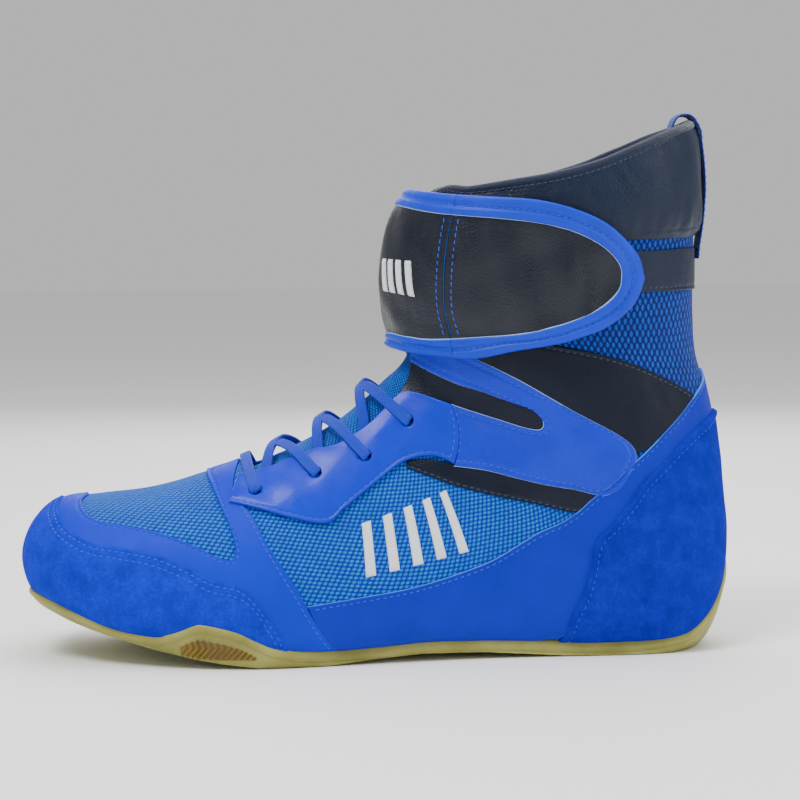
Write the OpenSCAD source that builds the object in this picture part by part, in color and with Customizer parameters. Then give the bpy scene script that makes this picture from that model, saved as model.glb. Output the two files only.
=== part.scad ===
// Boxing boot, left foot, laced, with a wide closure strap round the shaft.
// Every upper panel is a patch of one last-shaped surface. A point on that surface is
// given by a station (0 at the toe tip, 14 under the heel, 25 at the collar) and a girth
// number (0 along the top and front, 1 at the widest line, 2 along the sole and back;
// negative on the outer side of the foot, positive on the inner side).
// Toe points to -X, heel to +X, outer side to -Y, inner side to +Y, ground at Z = 0.

/* [Boot] */
// Overall length from toe to heel lip, in mm
boot_length = 290; // [240:1:330]
// Width across the ball of the foot, in mm
ball_width = 98; // [85:1:112]
// Height from the ground to the top of the pull loop, in mm
boot_height = 217; // [180:1:250]

/* [Layers] */
// Thickness of the knitted mesh base, in mm
mesh_thick = 0.8; // [0.5:0.1:1.5]
// Thickness of one overlay (suede or coated fabric), in mm
overlay_thick = 0.7; // [0.5:0.1:1]
// Thickness of the inner lining, in mm
lining_thick = 0.5; // [0.4:0.1:0.7]
// Thickness of the padded tongue, in mm
tongue_thick = 3; // [2:0.5:5]

/* [Sole] */
// Thickness of the gum sole under the foot, in mm
sole_floor = 1.7; // [1.5:0.1:2]
// Thickness of the cupped sole wall, in mm
sole_wall = 1.9; // [1.5:0.1:3]

/* [Closure] */
// Width of the flat lace, in mm
lace_width = 4.6; // [3.5:0.1:6]
// Thickness of the flat lace, in mm
lace_thick = 1.4; // [1:0.1:2]
// Diameter of the punched lace holes, in mm
hole_d = 5.5; // [5:0.25:6]
// Thickness of the strap body, in mm
strap_thick = 2; // [1.5:0.1:3]
// Clear gap between the strap and the shaft, in mm
strap_gap = 0.5; // [0.4:0.1:1.5]

/* [Hidden] */
k_x = boot_length / 290;
k_y = ball_width / 98;
k_z = boot_height / 217;
x_mid = 1.3;
y_mid = 1;
blue = [0.03, 0.32, 0.90];
suede_blue = [0.03, 0.27, 0.82];
mesh_blue = [0.05, 0.48, 0.90];
black = [0.10, 0.15, 0.20];
gum = [0.66, 0.68, 0.44];
white = [0.90, 0.92, 0.93];

// Last stations: back or sole point x, z; top or front point x, z; outer and inner
// half width; where the widest line lies; fullness below and above it; sideways shift
LAST = [
  [-135.5, 22, -135.5, 22, 0, 0, 0.50, 0.55, 0.55, 7],
  [-131.5, 21, -142.5, 30, 21, 21, 0.48, 0.58, 0.55, 7],
  [-125, 19, -144.6, 42, 31, 31, 0.40, 0.66, 0.58, 7],
  [-116, 15.8, -139.5, 53.5, 38, 37, 0.34, 0.74, 0.60, 6],
  [-104, 12.6, -129.5, 61.5, 43, 41, 0.29, 0.80, 0.60, 5],
  [-89, 9.2, -112, 64.5, 46, 44, 0.26, 0.84, 0.60, 3],
  [-72, 6.3, -92, 66.8, 48, 46, 0.24, 0.86, 0.58, 1],
  [-54, 4.6, -72, 72.3, 49, 46, 0.22, 0.88, 0.55, 0],
  [-35, 4.2, -54, 78.5, 48, 43, 0.22, 0.88, 0.52, -1],
  [-12, 5, -38, 86.3, 45, 39, 0.22, 0.88, 0.50, -1],
  [14, 6.6, -23, 94.3, 41, 36, 0.22, 0.88, 0.50, -1],
  [42, 6, -9, 104.5, 37, 34, 0.24, 0.88, 0.50, 0],
  [72, 4.4, -1, 112.5, 35, 34, 0.27, 0.88, 0.52, 0],
  [98, 4.2, 4.5, 117.5, 34, 34, 0.30, 0.86, 0.54, 0],
  [120, 4.6, 7, 121, 34, 34, 0.34, 0.80, 0.56, 0],
  [133.5, 11.5, 8, 124, 34, 34, 0.38, 0.72, 0.58, 0],
  [139.8, 28, 8.3, 127, 34, 34, 0.41, 0.64, 0.58, 0],
  [141.4, 46, 8, 130, 34, 34, 0.43, 0.58, 0.58, 0],
  [140, 62, 7.5, 133, 34, 34, 0.45, 0.56, 0.58, 0],
  [138, 82, 7, 136, 35, 35, 0.46, 0.54, 0.58, 0],
  [134.4, 103, 6.5, 140, 35, 35, 0.47, 0.54, 0.58, 0],
  [130, 119, 6.2, 145, 36, 36, 0.48, 0.54, 0.58, 0],
  [128.7, 138, 6.2, 152, 37, 37, 0.48, 0.55, 0.58, 0],
  [128.8, 160, 7.5, 163, 38, 38, 0.48, 0.56, 0.58, 0],
  [129.6, 186, 11.5, 175, 39, 39, 0.49, 0.57, 0.58, 0],
  [128.2, 212, 20, 186, 39, 39, 0.50, 0.57, 0.58, 0]
];

// Lace holes as station and girth, lowest first
HOLES = [[8.05, 0.40], [9.4, 0.43], [10.5, 0.46], [11.95, 0.43]];

// Outer side of the panels; each guide is a list of station and girth
FRONT_EDGE = [[8, -0.28], [9, -0.29], [10, -0.34], [11, -0.34], [12.4, -0.32],
  [14, -0.24], [16, -0.20], [18, -0.18], [20, -0.18], [22, -0.19], [24.6, -0.22]];
TOP_EDGE = [[24.6, -0.22], [24.8, -0.36], [24.6, -0.54], [24.55, -0.75], [24.53, -0.95],
  [24.6, -1.14], [24.75, -1.34], [24.88, -1.55], [24.95, -1.78], [25, -2]];

// ---------------------------------------------------------------- surface
function pick(L, i) = L[max(0, min(len(L) - 1, i))];
function mixed(p, q, t) = p + (q - p) * t;
function curve4(a, b, c, d, t) =
  0.5 * (2 * b + (c - a) * t + (2 * a - 5 * b + 4 * c - d) * t * t
  + (3 * b - a - 3 * c + d) * t * t * t);
function bezier(a, b, c, d, t) =
  a * pow(1 - t, 3) + 3 * b * t * pow(1 - t, 2) + 3 * c * t * t * (1 - t) + d * pow(t, 3);
function quartic(a, b, c, d, e, t) =
  bezier(a, b, c, d, t) * (1 - t) + bezier(b, c, d, e, t) * t;
function along(L, s) =
  len(L) == 1 ? L[0] :
  let (n = len(L) - 1, x = max(0, min(n, s * n)), i = min(n - 1, floor(x)))
  curve4(pick(L, i - 1), L[i], L[i + 1], pick(L, i + 2), x - i);
function wrapped(a) = a > 2 ? a - 4 : a < -2 ? a + 4 : a;
function skin(u, girth) =
  let (
    r = along(LAST, u / (len(LAST) - 1)),
    a = wrapped(girth),
    m = abs(a),
    q = m <= 1 ? m : m - 1,
    boxy = max(0, min(1, 5 * (r[7] - 0.58))),
    drop = r[6] * (1 - r[7]),
    t = m <= 1 ? bezier(1, 1, r[6] + r[8] * (1 - r[6]), r[6], q)
      : mixed(bezier(r[6], drop, 0, 0, q), quartic(r[6], drop, 0, 0, 0, q), boxy),
    w = m <= 1 ? bezier(0, r[8], 1, 1, q)
      : mixed(bezier(1, 1, r[7], 0, q), quartic(1, 1, 1, r[7], 0, q), boxy),
    side = a < 0 ? -r[4] : r[5]
  )
  [k_x * (x_mid + mixed(r[0], r[2], t)), k_y * (y_mid + r[9] + side * w), k_z * mixed(r[1], r[3], t)];
function outward(u, a) =
  let (
    e = 0.02,
    du = skin(min(25, u + e), a) - skin(max(0.05, u - e), a),
    da = skin(u, a + e) - skin(u, a - e),
    n = cross(du, da)
  )
  n / norm(n);
function on_skin(u, a, d) = skin(u, a) + d * outward(u, a);

// Other side of a guide, and guides that run right across the front or the back
function inner_side(L) = [for (p = L) [p[0], -p[1]]];
function across_front(L) =
  concat([for (i = [len(L) - 1:-1:1]) [L[i][0], -L[i][1]]], L);
function across_back(L) =
  concat(L, [for (i = [len(L) - 2:-1:0]) [L[i][0], -4 - L[i][1]]]);

// ---------------------------------------------------------------- solids
// Panel between guides A and B: n steps along, m steps across, offsets from the surface
// for the inner and the outer face as lists of [at A, at B]
function place(A, B, s, t) = mixed(along(A, s), along(B, s), t);
function face_points(A, B, n, m, D) =
  [for (i = [0:n]) for (j = [0:m])
    let (p = place(A, B, i / n, j / m), d = along(D, i / n))
    on_skin(p[0], p[1], mixed(d[0], d[1], j / m))];
function turned(f, flip) = flip ? [f[2], f[1], f[0]] : f;
module panel(A, B, n, m, inside, outside) {
  outer = face_points(A, B, n, m, outside);
  inner = face_points(A, B, n, m, inside);
  w = m + 1;
  k = (n + 1) * w;
  c = floor(n / 2) * w + floor(m / 2);
  mid = place(A, B, floor(n / 2) / n, floor(m / 2) / m);
  flip = cross(outer[c + w] - outer[c], outer[c + 1] - outer[c])
    * outward(mid[0], mid[1]) < 0;
  top = [for (i = [0:n - 1]) for (j = [0:m - 1])
    let (a = i * w + j) each [[a, a + 1, a + w], [a + 1, a + w + 1, a + w]]];
  low = [for (f = top) [f[2] + k, f[1] + k, f[0] + k]];
  near = [for (i = [0:n - 1])
    let (a = i * w) each [[a, a + w, a + k], [a + w, a + w + k, a + k]]];
  far = [for (i = [0:n - 1])
    let (a = i * w + m) each [[a, a + k, a + w], [a + w, a + k, a + w + k]]];
  start = [for (j = [0:m - 1])
    let (a = j) each [[a, a + k, a + 1], [a + 1, a + k, a + 1 + k]]];
  end = [for (j = [0:m - 1])
    let (a = n * w + j) each [[a, a + 1, a + k], [a + 1, a + 1 + k, a + k]]];
  faces = [for (f = concat(top, low, near, far, start, end)) turned(f, flip)];
  polyhedron(concat(outer, inner), faces, convexity = 10);
}

// Closed band made by moving a section along centre points P with half axes X and Y
module band(P, X, Y, section, flip = false) {
  c = len(section);
  n = len(P);
  pts = [for (i = [0:n - 1]) for (s = section) P[i] + X[i] * s[0] + Y[i] * s[1]];
  body = [for (i = [0:n - 2]) for (j = [0:c - 1])
    let (a = i * c + j, b = i * c + (j + 1) % c)
    each [[a, b, a + c], [b, b + c, a + c]]];
  first = [for (j = [1:c - 2]) [0, j + 1, j]];
  last = [for (j = [1:c - 2]) [(n - 1) * c, (n - 1) * c + j, (n - 1) * c + j + 1]];
  faces = [for (f = concat(body, first, last)) turned(f, flip)];
  polyhedron(pts, faces, convexity = 10);
}
round8 = [for (i = [0:7]) [cos(45 * i), sin(45 * i)]];
flat4 = [[1, 1], [-1, 1], [-1, -1], [1, -1]];

// Half guides shared by both sides of the boot
module both_layers(A, B, n, m, inner, inside, outside) {
  if (inner) panel(inner_side(A), inner_side(B), n, m, inside, outside);
  else panel(A, B, n, m, inside, outside);
}
base_in = [[-mesh_thick, -mesh_thick]];
base_out = [[0, 0]];
layer_gap = 0.45;
over = layer_gap + overlay_thick;
over_in = [[layer_gap, layer_gap]];
over_out = [[over, over]];
top_in = over + 0.3;
top_out = top_in + 0.8;

// ---------------------------------------------------------------- sole
// Height of the tread along the boot
GROUND = [[-137, 20], [-132, 18], [-125, 15.5], [-116, 13], [-104, 10], [-90, 6.5],
  [-76, 3.8], [-63, 1.6], [-50, 0], [-22, 0], [-5, 1.5], [15, 3], [40, 2.5],
  [60, 1], [74, 0], [131, 0]];
// Where the cup's top edge meets the upper: station and girth, toe to heel
RIM = [[0.7, 0], [0.93, -0.51], [1.35, -1], [2.1, -1.26], [3, -1.33], [3.95, -1.4],
  [5, -1.34], [5.4, -1.24], [6, -1.09], [6.3, -1.06], [6.9, -1.11], [7.3, -1.22],
  [7.7, -1.34], [8.5, -1.46], [9.3, -1.52], [10, -1.51], [11, -1.51], [12, -1.54],
  [13, -1.58], [13.7, -1.56], [14.3, -1.58], [15, -1.63], [15.7, -1.77], [16.4, -2]];
// Edge of the tread: x, outer half width, inner half width
FOOT = [[-136.5, 0, 0], [-135, 9, 9], [-131.5, 17.5, 17.5], [-124.5, 26, 26],
  [-115, 33, 32], [-104, 38, 37], [-90, 42.5, 40.5], [-84, 44, 42], [-76, 46, 43.5],
  [-70, 47, 44], [-58, 47.5, 44], [-50, 47, 43], [-42, 46, 41.5], [-25, 43.5, 38],
  [-5, 40, 34.5], [15, 37, 32], [40, 34, 31], [70, 32, 31.5], [95, 31.5, 31.5],
  [109, 30, 30], [119, 25.5, 25.5], [125.5, 18, 18], [129.5, 9.5, 9.5], [131, 0, 0]];
SHIFT = [[-145, 7], [-116, 6], [-104, 5], [-89, 3], [-72, 1], [-54, 0], [-35, -1],
  [0, -1], [30, -0.5], [60, 0], [145, 0]];
function stretched(p) = [k_x * (p[0] + x_mid), k_y * (p[1] + y_mid), k_z * p[2]];
function spine_point(s) =
  let (x = 0.88 * along(FOOT, s)[0] - 1)
  stretched([x, lookup(x, SHIFT), lookup(x, GROUND)]);
function cup_point(s, side, level) =
  let (
    f = along(FOOT, s),
    r = along(RIM, s),
    half = side < 0 ? f[1] : f[2],
    low = stretched([f[0], side * half + lookup(f[0], SHIFT), lookup(f[0], GROUND)]),
    g = side < 0 ? r[1] : -r[1],
    rim = on_skin(r[0], g, layer_gap + sole_wall),
    inner_rim = on_skin(r[0], g, layer_gap),
    mid = [mixed(low[0], rim[0], 0.75), mixed(low[1], rim[1], 0.75),
      mixed(low[2], rim[2], 0.30)],
    c1 = mixed(low, mid, 0.67),
    c2 = mixed(rim, mid, 0.67),
    spine = spine_point(s),
    inward = [spine[0] - rim[0], spine[1] - rim[1], 0],
    step = inward / norm(inward) * sole_wall
  )
  level == 0 ? mixed(spine, low, 0.5) :
  level == 1 ? mixed(spine, low, 0.97) :
  level == 2 ? bezier(low, c1, c2, rim, 0.12) :
  level == 3 ? bezier(low, c1, c2, rim, 0.5) :
  level == 4 ? rim :
  level == 5 ? inner_rim :
  level == 6 ? bezier(low, c1, c2, rim, 0.5) + step + [0, 0, 0.3] :
  level == 7 ? mixed(low, spine, 0.08) + [0, 0, sole_floor] :
  mixed(spine, low, 0.5) + [0, 0, sole_floor];
module outsole() {
  n = 32;
  around = 2 * n;
  function share(k) = k <= n ? k / n : (around - k) / n;
  rings = [for (level = [0:8]) for (k = [0:around - 1])
    cup_point(share(k), k <= n ? -1 : 1, level)];
  spine_low = [for (k = [0:n]) spine_point(k / n)];
  spine_top = [for (p = spine_low) p + [0, 0, sole_floor]];
  base = 9 * around;
  bands = [for (level = [0:7]) for (k = [0:around - 1])
    let (a = level * around + k, b = level * around + (k + 1) % around)
    each [[a, b, a + around], [b, b + around, a + around]]];
  function spot(k) = k <= n ? k : around - k;
  floor_low = [for (k = [0:around - 1])
    let (a = k, b = (k + 1) % around, p = base + spot(k), q = base + spot((k + 1) % around))
    each k % n == 0 ? [[p, q, b], [p, b, a]] : [[p, q, a], [q, b, a]]];
  floor_top = [for (k = [0:around - 1])
    let (a = 8 * around + k, b = 8 * around + (k + 1) % around,
      p = base + n + 1 + spot(k), q = base + n + 1 + spot((k + 1) % around))
    each k % n == 0 ? [[p, b, q], [p, a, b]] : [[p, a, q], [q, a, b]]];
  color(gum)
  polyhedron(concat(rings, spine_low, spine_top),
    [for (f = concat(bands, floor_low, floor_top)) turned(f, true)], convexity = 10);
}

// Layers under the foot run from the outer edge across the sole to the inner edge
SOLE_OUT = [[1.4, -1.5], [2, -1.62], [4, -1.65], [6, -1.65], [8, -1.65], [10, -1.67],
  [12, -1.7], [13.2, -1.78], [14, -1.85]];
module under_foot(out_guide, n, m, inside, outside) {
  panel(out_guide, [for (p = out_guide) [p[0], -4 - p[1]]], n, m, inside, outside);
}
module midsole() {
  color(white) under_foot(SOLE_OUT, 22, 4, [[0.1, 0.1]],
    [[0.6, 0.6], [0.5, 0.5], [0.5, 0.5], [0.8, 0.8], [1.5, 1.5], [1.3, 1.3], [1.4, 1.4],
      [1.3, 1.3], [1.1, 1.1]]);
}
module insole_board() {
  color([0.80, 0.76, 0.66]) under_foot(SOLE_OUT, 18, 4, [[-2.2, -2.2]],
    [[-1, -1]]);
}
module footbed() {
  color([0.16, 0.20, 0.26]) under_foot(SOLE_OUT, 24, 6,
    [[-5, -5], [-5.2, -5.2], [-5.5, -5.5], [-6.5, -6.5], [-7.5, -7.5], [-6.5, -6.5]],
    [[-2.8, -2.8]]);
}

// ---------------------------------------------------------------- stiffeners and lining
module toe_puff() {
  color([0.75, 0.72, 0.62]) panel(
    across_front([[4.2, 0], [4.2, -0.3], [4.2, -0.6], [4.3, -0.9]]),
    across_front([[1, 0], [1.1, -0.5], [1.3, -1], [2.4, -1.4]]),
    16, 5, [[-2, -2]], [[-1.4, -1.4]]);
}
module heel_counter() {
  color([0.75, 0.72, 0.62]) panel(
    across_back([[13, -1.15], [15, -1.1], [17, -1.25], [18.3, -1.55], [18.6, -2]]),
    across_back([[13, -1.6], [13.6, -1.66], [14, -1.72], [14.4, -1.85], [14.5, -2]]),
    20, 5, [[-1.85, -1.85]], [[-1.3, -1.3]]);
}
module lining_vamp() {
  color([0.20, 0.24, 0.30]) panel(
    [[1.1, -1.4], [2.5, -1.55], [5, -1.55], [7.96, -1.55]],
    [[1.1, 1.4], [2.5, 1.55], [5, 1.55], [7.96, 1.55]],
    11, 18, [[-2.4 - lining_thick, -2.4 - lining_thick]], [[-2.4, -2.4]]);
}
LINING_LOW = [[8.04, -1.58], [9.5, -1.58], [11, -1.6], [12.5, -1.62], [13.6, -1.68], [14.3, -1.85],
  [15.2, -1.99], [17, -1.99], [19, -1.99], [21, -1.99], [23, -1.99], [24.6, -1.99]];
LINING_FRONT = [[8.04, -0.28], [9.4, -0.30], [10.8, -0.34], [12.2, -0.32], [13.6, -0.26],
  [15, -0.22], [16.6, -0.19], [18.2, -0.18], [19.8, -0.18], [21.4, -0.19], [23, -0.20],
  [24.25, -0.22]];
lining_in = [[-1.6, -2.9], [-1.6, -3.1], [-1.6, -3.4], [-1.8, -3.7], [-2.6, -4.8], [-2.8, -5.2]];
lining_out = [for (d = lining_in) d + [lining_thick, lining_thick]];
module lining_side(inner) {
  color([0.20, 0.24, 0.30])
  punched(inner)
  both_layers(LINING_FRONT, LINING_LOW, 22, 10, inner, lining_in, lining_out);
}
module lining_lateral() lining_side(false);
module lining_medial() lining_side(true);

// ---------------------------------------------------------------- mesh base
module vamp_mesh() {
  color(mesh_blue) panel(
    [[1.1, -1.35], [2.5, -1.5], [5, -1.52], [7.98, -1.52]],
    [[1.1, 1.35], [2.5, 1.5], [5, 1.52], [7.98, 1.52]],
    11, 18, base_in, base_out);
}
module quarter_mesh(inner) {
  color(mesh_blue)
  punched(inner)
  both_layers(
    [[8.02, -0.29], [9, -0.30], [10, -0.34], [11, -0.35], [12.2, -0.36], [13.4, -0.56],
      [14.8, -0.77], [16, -0.98], [17.1, -1.24], [17.7, -1.6], [18.1, -1.99]],
    [[8.02, -1.52], [9, -1.52], [10, -1.54], [11, -1.56], [12, -1.58], [12.8, -1.6],
      [13.4, -1.65], [13.8, -1.7], [14.2, -1.8], [14.5, -1.9], [14.6, -1.99]],
    22, 8, inner, base_in, base_out);
}
module quarter_mesh_lateral() quarter_mesh(false);
module quarter_mesh_medial() quarter_mesh(true);
module collar_mesh() {
  color([0.09, 0.36, 0.74]) panel(
    across_back([[24.15, -0.24], [24.15, -0.7], [24.2, -1.2], [24.4, -1.6], [24.55, -2]]),
    across_back([[17, -0.22], [17.2, -0.7], [17.5, -1.2], [18.2, -1.6], [18.5, -2]]),
    28, 6, base_in, base_out);
}

// ---------------------------------------------------------------- suede and overlays
module toe_guard() {
  color(suede_blue) panel(
    across_front([[4.05, 0], [3.95, -0.25], [4.02, -0.46], [4.44, -0.6], [5.1, -0.64],
      [5.72, -0.67], [6.2, -0.73], [6.7, -0.81], [7.24, -0.85], [7.55, -0.94],
      [7.8, -1.12], [7.86, -1.3]]),
    across_front([[0.95, 0], [1.12, -0.46], [1.5, -0.9], [2.2, -1.19], [3.3, -1.27],
      [4.4, -1.31], [5.1, -1.24], [5.8, -1.05], [6.3, -0.99], [6.9, -1.04], [7.3, -1.13],
      [7.7, -1.29]]),
    36, 4, [[0.6, 0.6]], [[1.5, 1.5]]);
}
module toe_overlay() {
  color(blue) panel(
    across_front([[4.65, 0], [4.52, -0.17], [4.56, -0.34], [4.82, -0.43], [5.4, -0.48],
      [6, -0.54], [6.6, -0.64], [6.85, -0.68], [7, -0.70], [7.1, -0.715], [7.18, -0.72],
      [7.25, -0.72], [7.36, -0.66], [7.34, -0.55],
      [7.25, -0.42], [7.18, -0.30], [7.1, -0.12], [7.1, -0.01]]),
    across_front([[4.16, 0], [4.06, -0.24], [4.13, -0.42], [4.52, -0.55], [5.15, -0.59],
      [5.8, -0.63], [6.65, -0.755], [7.28, -0.80], [7.72, -0.93], [7.97, -1.13],
      [8.03, -1.27], [8.5, -1.3], [8.36, -0.97], [8.06, -0.72],
      [7.85, -0.52], [7.6, -0.36], [7.75, -0.14], [7.85, -0.01]]),
    40, 4, [[0.9, 0.9]], [[1.4, 1.4]]);
}
FOX = [[8.5, -0.97], [9.4, -0.97], [10.4, -0.97], [11.5, -0.95], [13.1, -0.91],
  [14.7, -0.94], [16, -1.02], [17.8, -1.23], [19, -1.43], [19.9, -1.68], [20.6, -1.99]];
module lower_band(inner) {
  color([0.02, 0.27, 0.76]) both_layers(FOX,
    [[8.72, -1.42], [9.5, -1.48], [10.4, -1.47], [11.5, -1.48], [12.3, -1.2],
      [13.6, -1.0], [15.2, -0.99], [17, -1.18], [18.7, -1.44], [19.6, -1.73], [19.85, -1.99]],
    30, 3, inner, over_in, over_out);
}
module lower_band_lateral() lower_band(false);
module lower_band_medial() lower_band(true);
module heel_guard() {
  color(suede_blue) panel(
    across_back([[11.8, -1.48], [12.36, -1.26], [13.1, -1.1], [14.1, -1.04], [15.1, -1.04],
      [16.4, -1.14], [17.9, -1.33], [18.9, -1.53], [19.45, -1.76], [19.65, -2]]),
    across_back([[11.95, -1.5], [12.5, -1.53], [13, -1.54], [13.6, -1.53], [14.2, -1.545],
      [14.9, -1.585], [15.5, -1.66], [15.95, -1.77], [16.35, -1.89], [16.6, -2]]),
    28, 5, [[0.6, 0.6]], [[1.7, 1.5]]);
}
module hole_pegs(inner) {
  for (h = HOLES) {
    a = inner ? h[1] : -h[1];
    p = skin(h[0], a);
    n = outward(h[0], a);
    translate(p)
    rotate([0, acos(n[2]), atan2(n[1], n[0])])
    translate([0, 0, -4])
    cylinder(h = 9, d = hole_d, $fn = 12);
  }
}
module punched(inner) {
  resize([0, 0, 0])
  difference() {
    children();
    hole_pegs(inner);
  }
}
module eyestay(inner) {
  color(blue)
  punched(inner)
  both_layers(
      [[7.8, -0.24], [8.3, -0.28], [8.8, -0.285], [9.5, -0.30], [10, -0.335],
        [10.7, -0.34], [11.4, -0.325], [12, -0.31], [12.6, -0.32], [13.4, -0.40],
        [14.25, -0.49]],
      [[7.45, -0.42], [8, -0.50], [8.6, -0.59], [9.25, -0.66], [9.7, -0.625],
        [10.3, -0.585], [11, -0.555], [11.5, -0.56], [11.9, -0.58], [12.2, -0.61],
        [12.35, -0.64]],
      22, 4, inner, [[top_in, top_in]], [[top_out, top_out]]);
}
module eyestay_lateral() eyestay(false);
module eyestay_medial() eyestay(true);
module ankle_wing(inner) {
  color(blue) both_layers(
    [[17.3, -0.19], [18, -0.35], [18.35, -0.55], [18.4, -0.75], [18.2, -0.95],
      [17.9, -1.18], [16.9, -1.08], [15.9, -0.975], [15.2, -0.885], [14.2, -0.795],
      [13.2, -0.71], [12.3, -0.645]],
    [[14.5, -0.24], [15, -0.35], [15.7, -0.49], [16.4, -0.61], [16.95, -0.745],
      [17.15, -0.80], [16.95, -0.835], [16.55, -0.825], [16.2, -0.78], [15.6, -0.67],
      [15, -0.58], [14.2, -0.485]],
    36, 3, inner, over_in, over_out);
}
module ankle_wing_lateral() ankle_wing(false);
module ankle_wing_medial() ankle_wing(true);
module slot_insert(inner) {
  color(black) both_layers(
    [[15.2, -0.2], [15.9, -0.38], [16.7, -0.58], [16.95, -0.74], [17.05, -0.84]],
    [[12.3, -0.30], [13.6, -0.51], [15.2, -0.71], [16, -0.83], [16.4, -0.87]],
    14, 4, inner, [[-0.75, -0.75]], [[-0.05, -0.05]]);
}
module slot_insert_lateral() slot_insert(false);
module slot_insert_medial() slot_insert(true);
module ankle_panel(inner) {
  color(black) both_layers(
    [[19.4, -0.18], [19.8, -0.45], [20.05, -0.75], [20.3, -1.05], [20.3, -1.25],
      [20.2, -1.45], [20.1, -1.6]],
    [[17.5, -0.19], [18.3, -0.42], [18.62, -0.68], [18.5, -0.93], [18.2, -1.22],
      [18.95, -1.36], [19.75, -1.55]],
    20, 4, inner, over_in, over_out);
}
module ankle_panel_lateral() ankle_panel(false);
module ankle_panel_medial() ankle_panel(true);
module accent_stripe(inner) {
  color(black) both_layers(
    [[11.3, -0.57], [11.9, -0.615], [12.5, -0.675], [13.3, -0.735], [14.3, -0.825],
      [15.1, -0.9], [15.7, -0.965]],
    [[11.2, -0.585], [11.6, -0.645], [12.1, -0.71], [12.9, -0.785], [13.8, -0.855],
      [14.4, -0.89], [15, -0.925]],
    20, 1, inner, over_in, over_out);
}
module accent_stripe_lateral() accent_stripe(false);
module accent_stripe_medial() accent_stripe(true);
// Plain slanted bars sewn on the quarter
module quarter_badge() {
  color(white)
  for (side = [-1, 1])
  for (i = [0:4]) {
    u = 9.6 + 0.42 * i;
    panel(
      [[u + 0.30, side * 0.70], [u, side * 0.90]],
      [[u + 0.48, side * 0.70], [u + 0.18, side * 0.90]],
      2, 1, over_in, over_out);
  }
}

// ---------------------------------------------------------------- collar
module collar_band() {
  color(black) panel(
    across_back([[23.05, -1.1], [23.03, -1.35], [23.08, -1.65], [23.1, -2]]),
    across_back([[22.2, -1.1], [22.2, -1.35], [22.3, -1.65], [22.35, -2]]),
    16, 1, over_in, over_out);
}
module collar_pad() {
  color([0.13, 0.21, 0.28]) panel(
    across_back([[24.4, -0.23], [24.62, -0.37], [24.42, -0.54], [24.37, -0.75],
      [24.35, -0.95], [24.42, -1.14], [24.57, -1.34], [24.7, -1.55], [24.77, -1.78],
      [24.82, -2]]),
    across_back([[23.3, -0.20], [23.25, -0.37], [23.2, -0.54], [23.2, -0.75],
      [23.2, -0.95], [23.2, -1.14], [23.22, -1.34], [23.24, -1.55], [23.26, -1.78],
      [23.28, -2]]),
    36, 3, over_in, [[1.4, 1.2], [1.5, 1.4], [1.8, 1.5], [2, 1.6], [1.8, 1.5],
      [1.5, 1.4], [1.4, 1.2]]);
}
module collar_foam() {
  color([0.85, 0.82, 0.70]) panel(
    across_back([[24.2, -0.4], [24.1, -0.75], [24.1, -1.1], [24.35, -1.6], [24.5, -2]]),
    across_back([[22.2, -0.4], [22.1, -0.75], [22.1, -1.1], [22.1, -1.6], [22.2, -2]]),
    24, 3, [[-1.8, -1.75], [-2.5, -2.3], [-3.1, -2.9], [-3.6, -3.4], [-3.1, -2.9],
      [-2.5, -2.3], [-1.8, -1.75]], [[-1.35, -1.35]]);
}
module collar_binding() {
  n = 40;
  edge = across_back(TOP_EDGE);
  P = [for (i = [0:n]) let (p = along(edge, i / n)) on_skin(p[0] - 0.02, p[1], -0.9)];
  N = [for (i = [0:n]) let (p = along(edge, i / n)) outward(min(24.9, p[0]), p[1])];
  T = [for (i = [0:n]) let (d = P[min(n, i + 1)] - P[max(0, i - 1)]) d / norm(d)];
  X = [for (i = [0:n]) N[i] * 2.1];
  Y = [for (i = [0:n]) cross(T[i], N[i]) * 2.2];
  color(black) band(P, X, Y, round8, true);
}
module pull_loop() {
  route = [[131.4, 163], [132.7, 176], [133.2, 190], [132.9, 203], [131.8, 210], [129, 214.6],
    [125.3, 216.2], [121.4, 215.2], [119.3, 210], [120, 202], [120.6, 192], [120.6, 182]];
  n = 22;
  P = [for (i = [0:n]) let (p = along(route, i / n)) [k_x * (p[0] + x_mid), y_mid, k_z * p[1]]];
  T = [for (i = [0:n]) let (d = P[min(n, i + 1)] - P[max(0, i - 1)]) d / norm(d)];
  X = [for (i = [0:n]) [0, 6.5, 0]];
  Y = [for (i = [0:n]) cross(T[i], [0, 1, 0]) * 0.7];
  color(blue) band(P, X, Y, flat4, true);
}

// ---------------------------------------------------------------- tongue
TONGUE = [[7.7, -0.30], [8.6, -0.40], [10, -0.45], [11.5, -0.44], [13, -0.40], [15, -0.37],
  [17, -0.35], [19, -0.34], [21, -0.33], [23, -0.33], [24.65, -0.30]];
tongue_top = -3.9;
module tongue() {
  color(mesh_blue) panel(TONGUE, inner_side(TONGUE), 24, 6,
    [[tongue_top - tongue_thick + 1, tongue_top - tongue_thick + 1],
      [tongue_top - tongue_thick, tongue_top - tongue_thick],
      [tongue_top - tongue_thick, tongue_top - tongue_thick]],
    [[tongue_top, tongue_top]]);
}
module tongue_binding() {
  side = concat([for (i = [6:9]) TONGUE[i] - [0, 0.05]], [[24.5, -0.345], [24.9, -0.24]]);
  edge = concat(side, [[24.95, 0]], [for (i = [5:-1:0]) [side[i][0], -side[i][1]]]);
  n = 26;
  drop = tongue_top - tongue_thick / 2;
  P = [for (i = [0:n]) let (p = along(edge, i / n)) on_skin(p[0], p[1], drop)];
  N = [for (i = [0:n]) let (p = along(edge, i / n)) outward(p[0], p[1])];
  T = [for (i = [0:n]) let (d = P[min(n, i + 1)] - P[max(0, i - 1)]) d / norm(d)];
  X = [for (i = [0:n]) N[i] * (tongue_thick / 2 + 0.1)];
  Y = [for (i = [0:n]) cross(T[i], N[i]) * 1.4];
  color(black) band(P, X, Y, round8, true);
}

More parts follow.
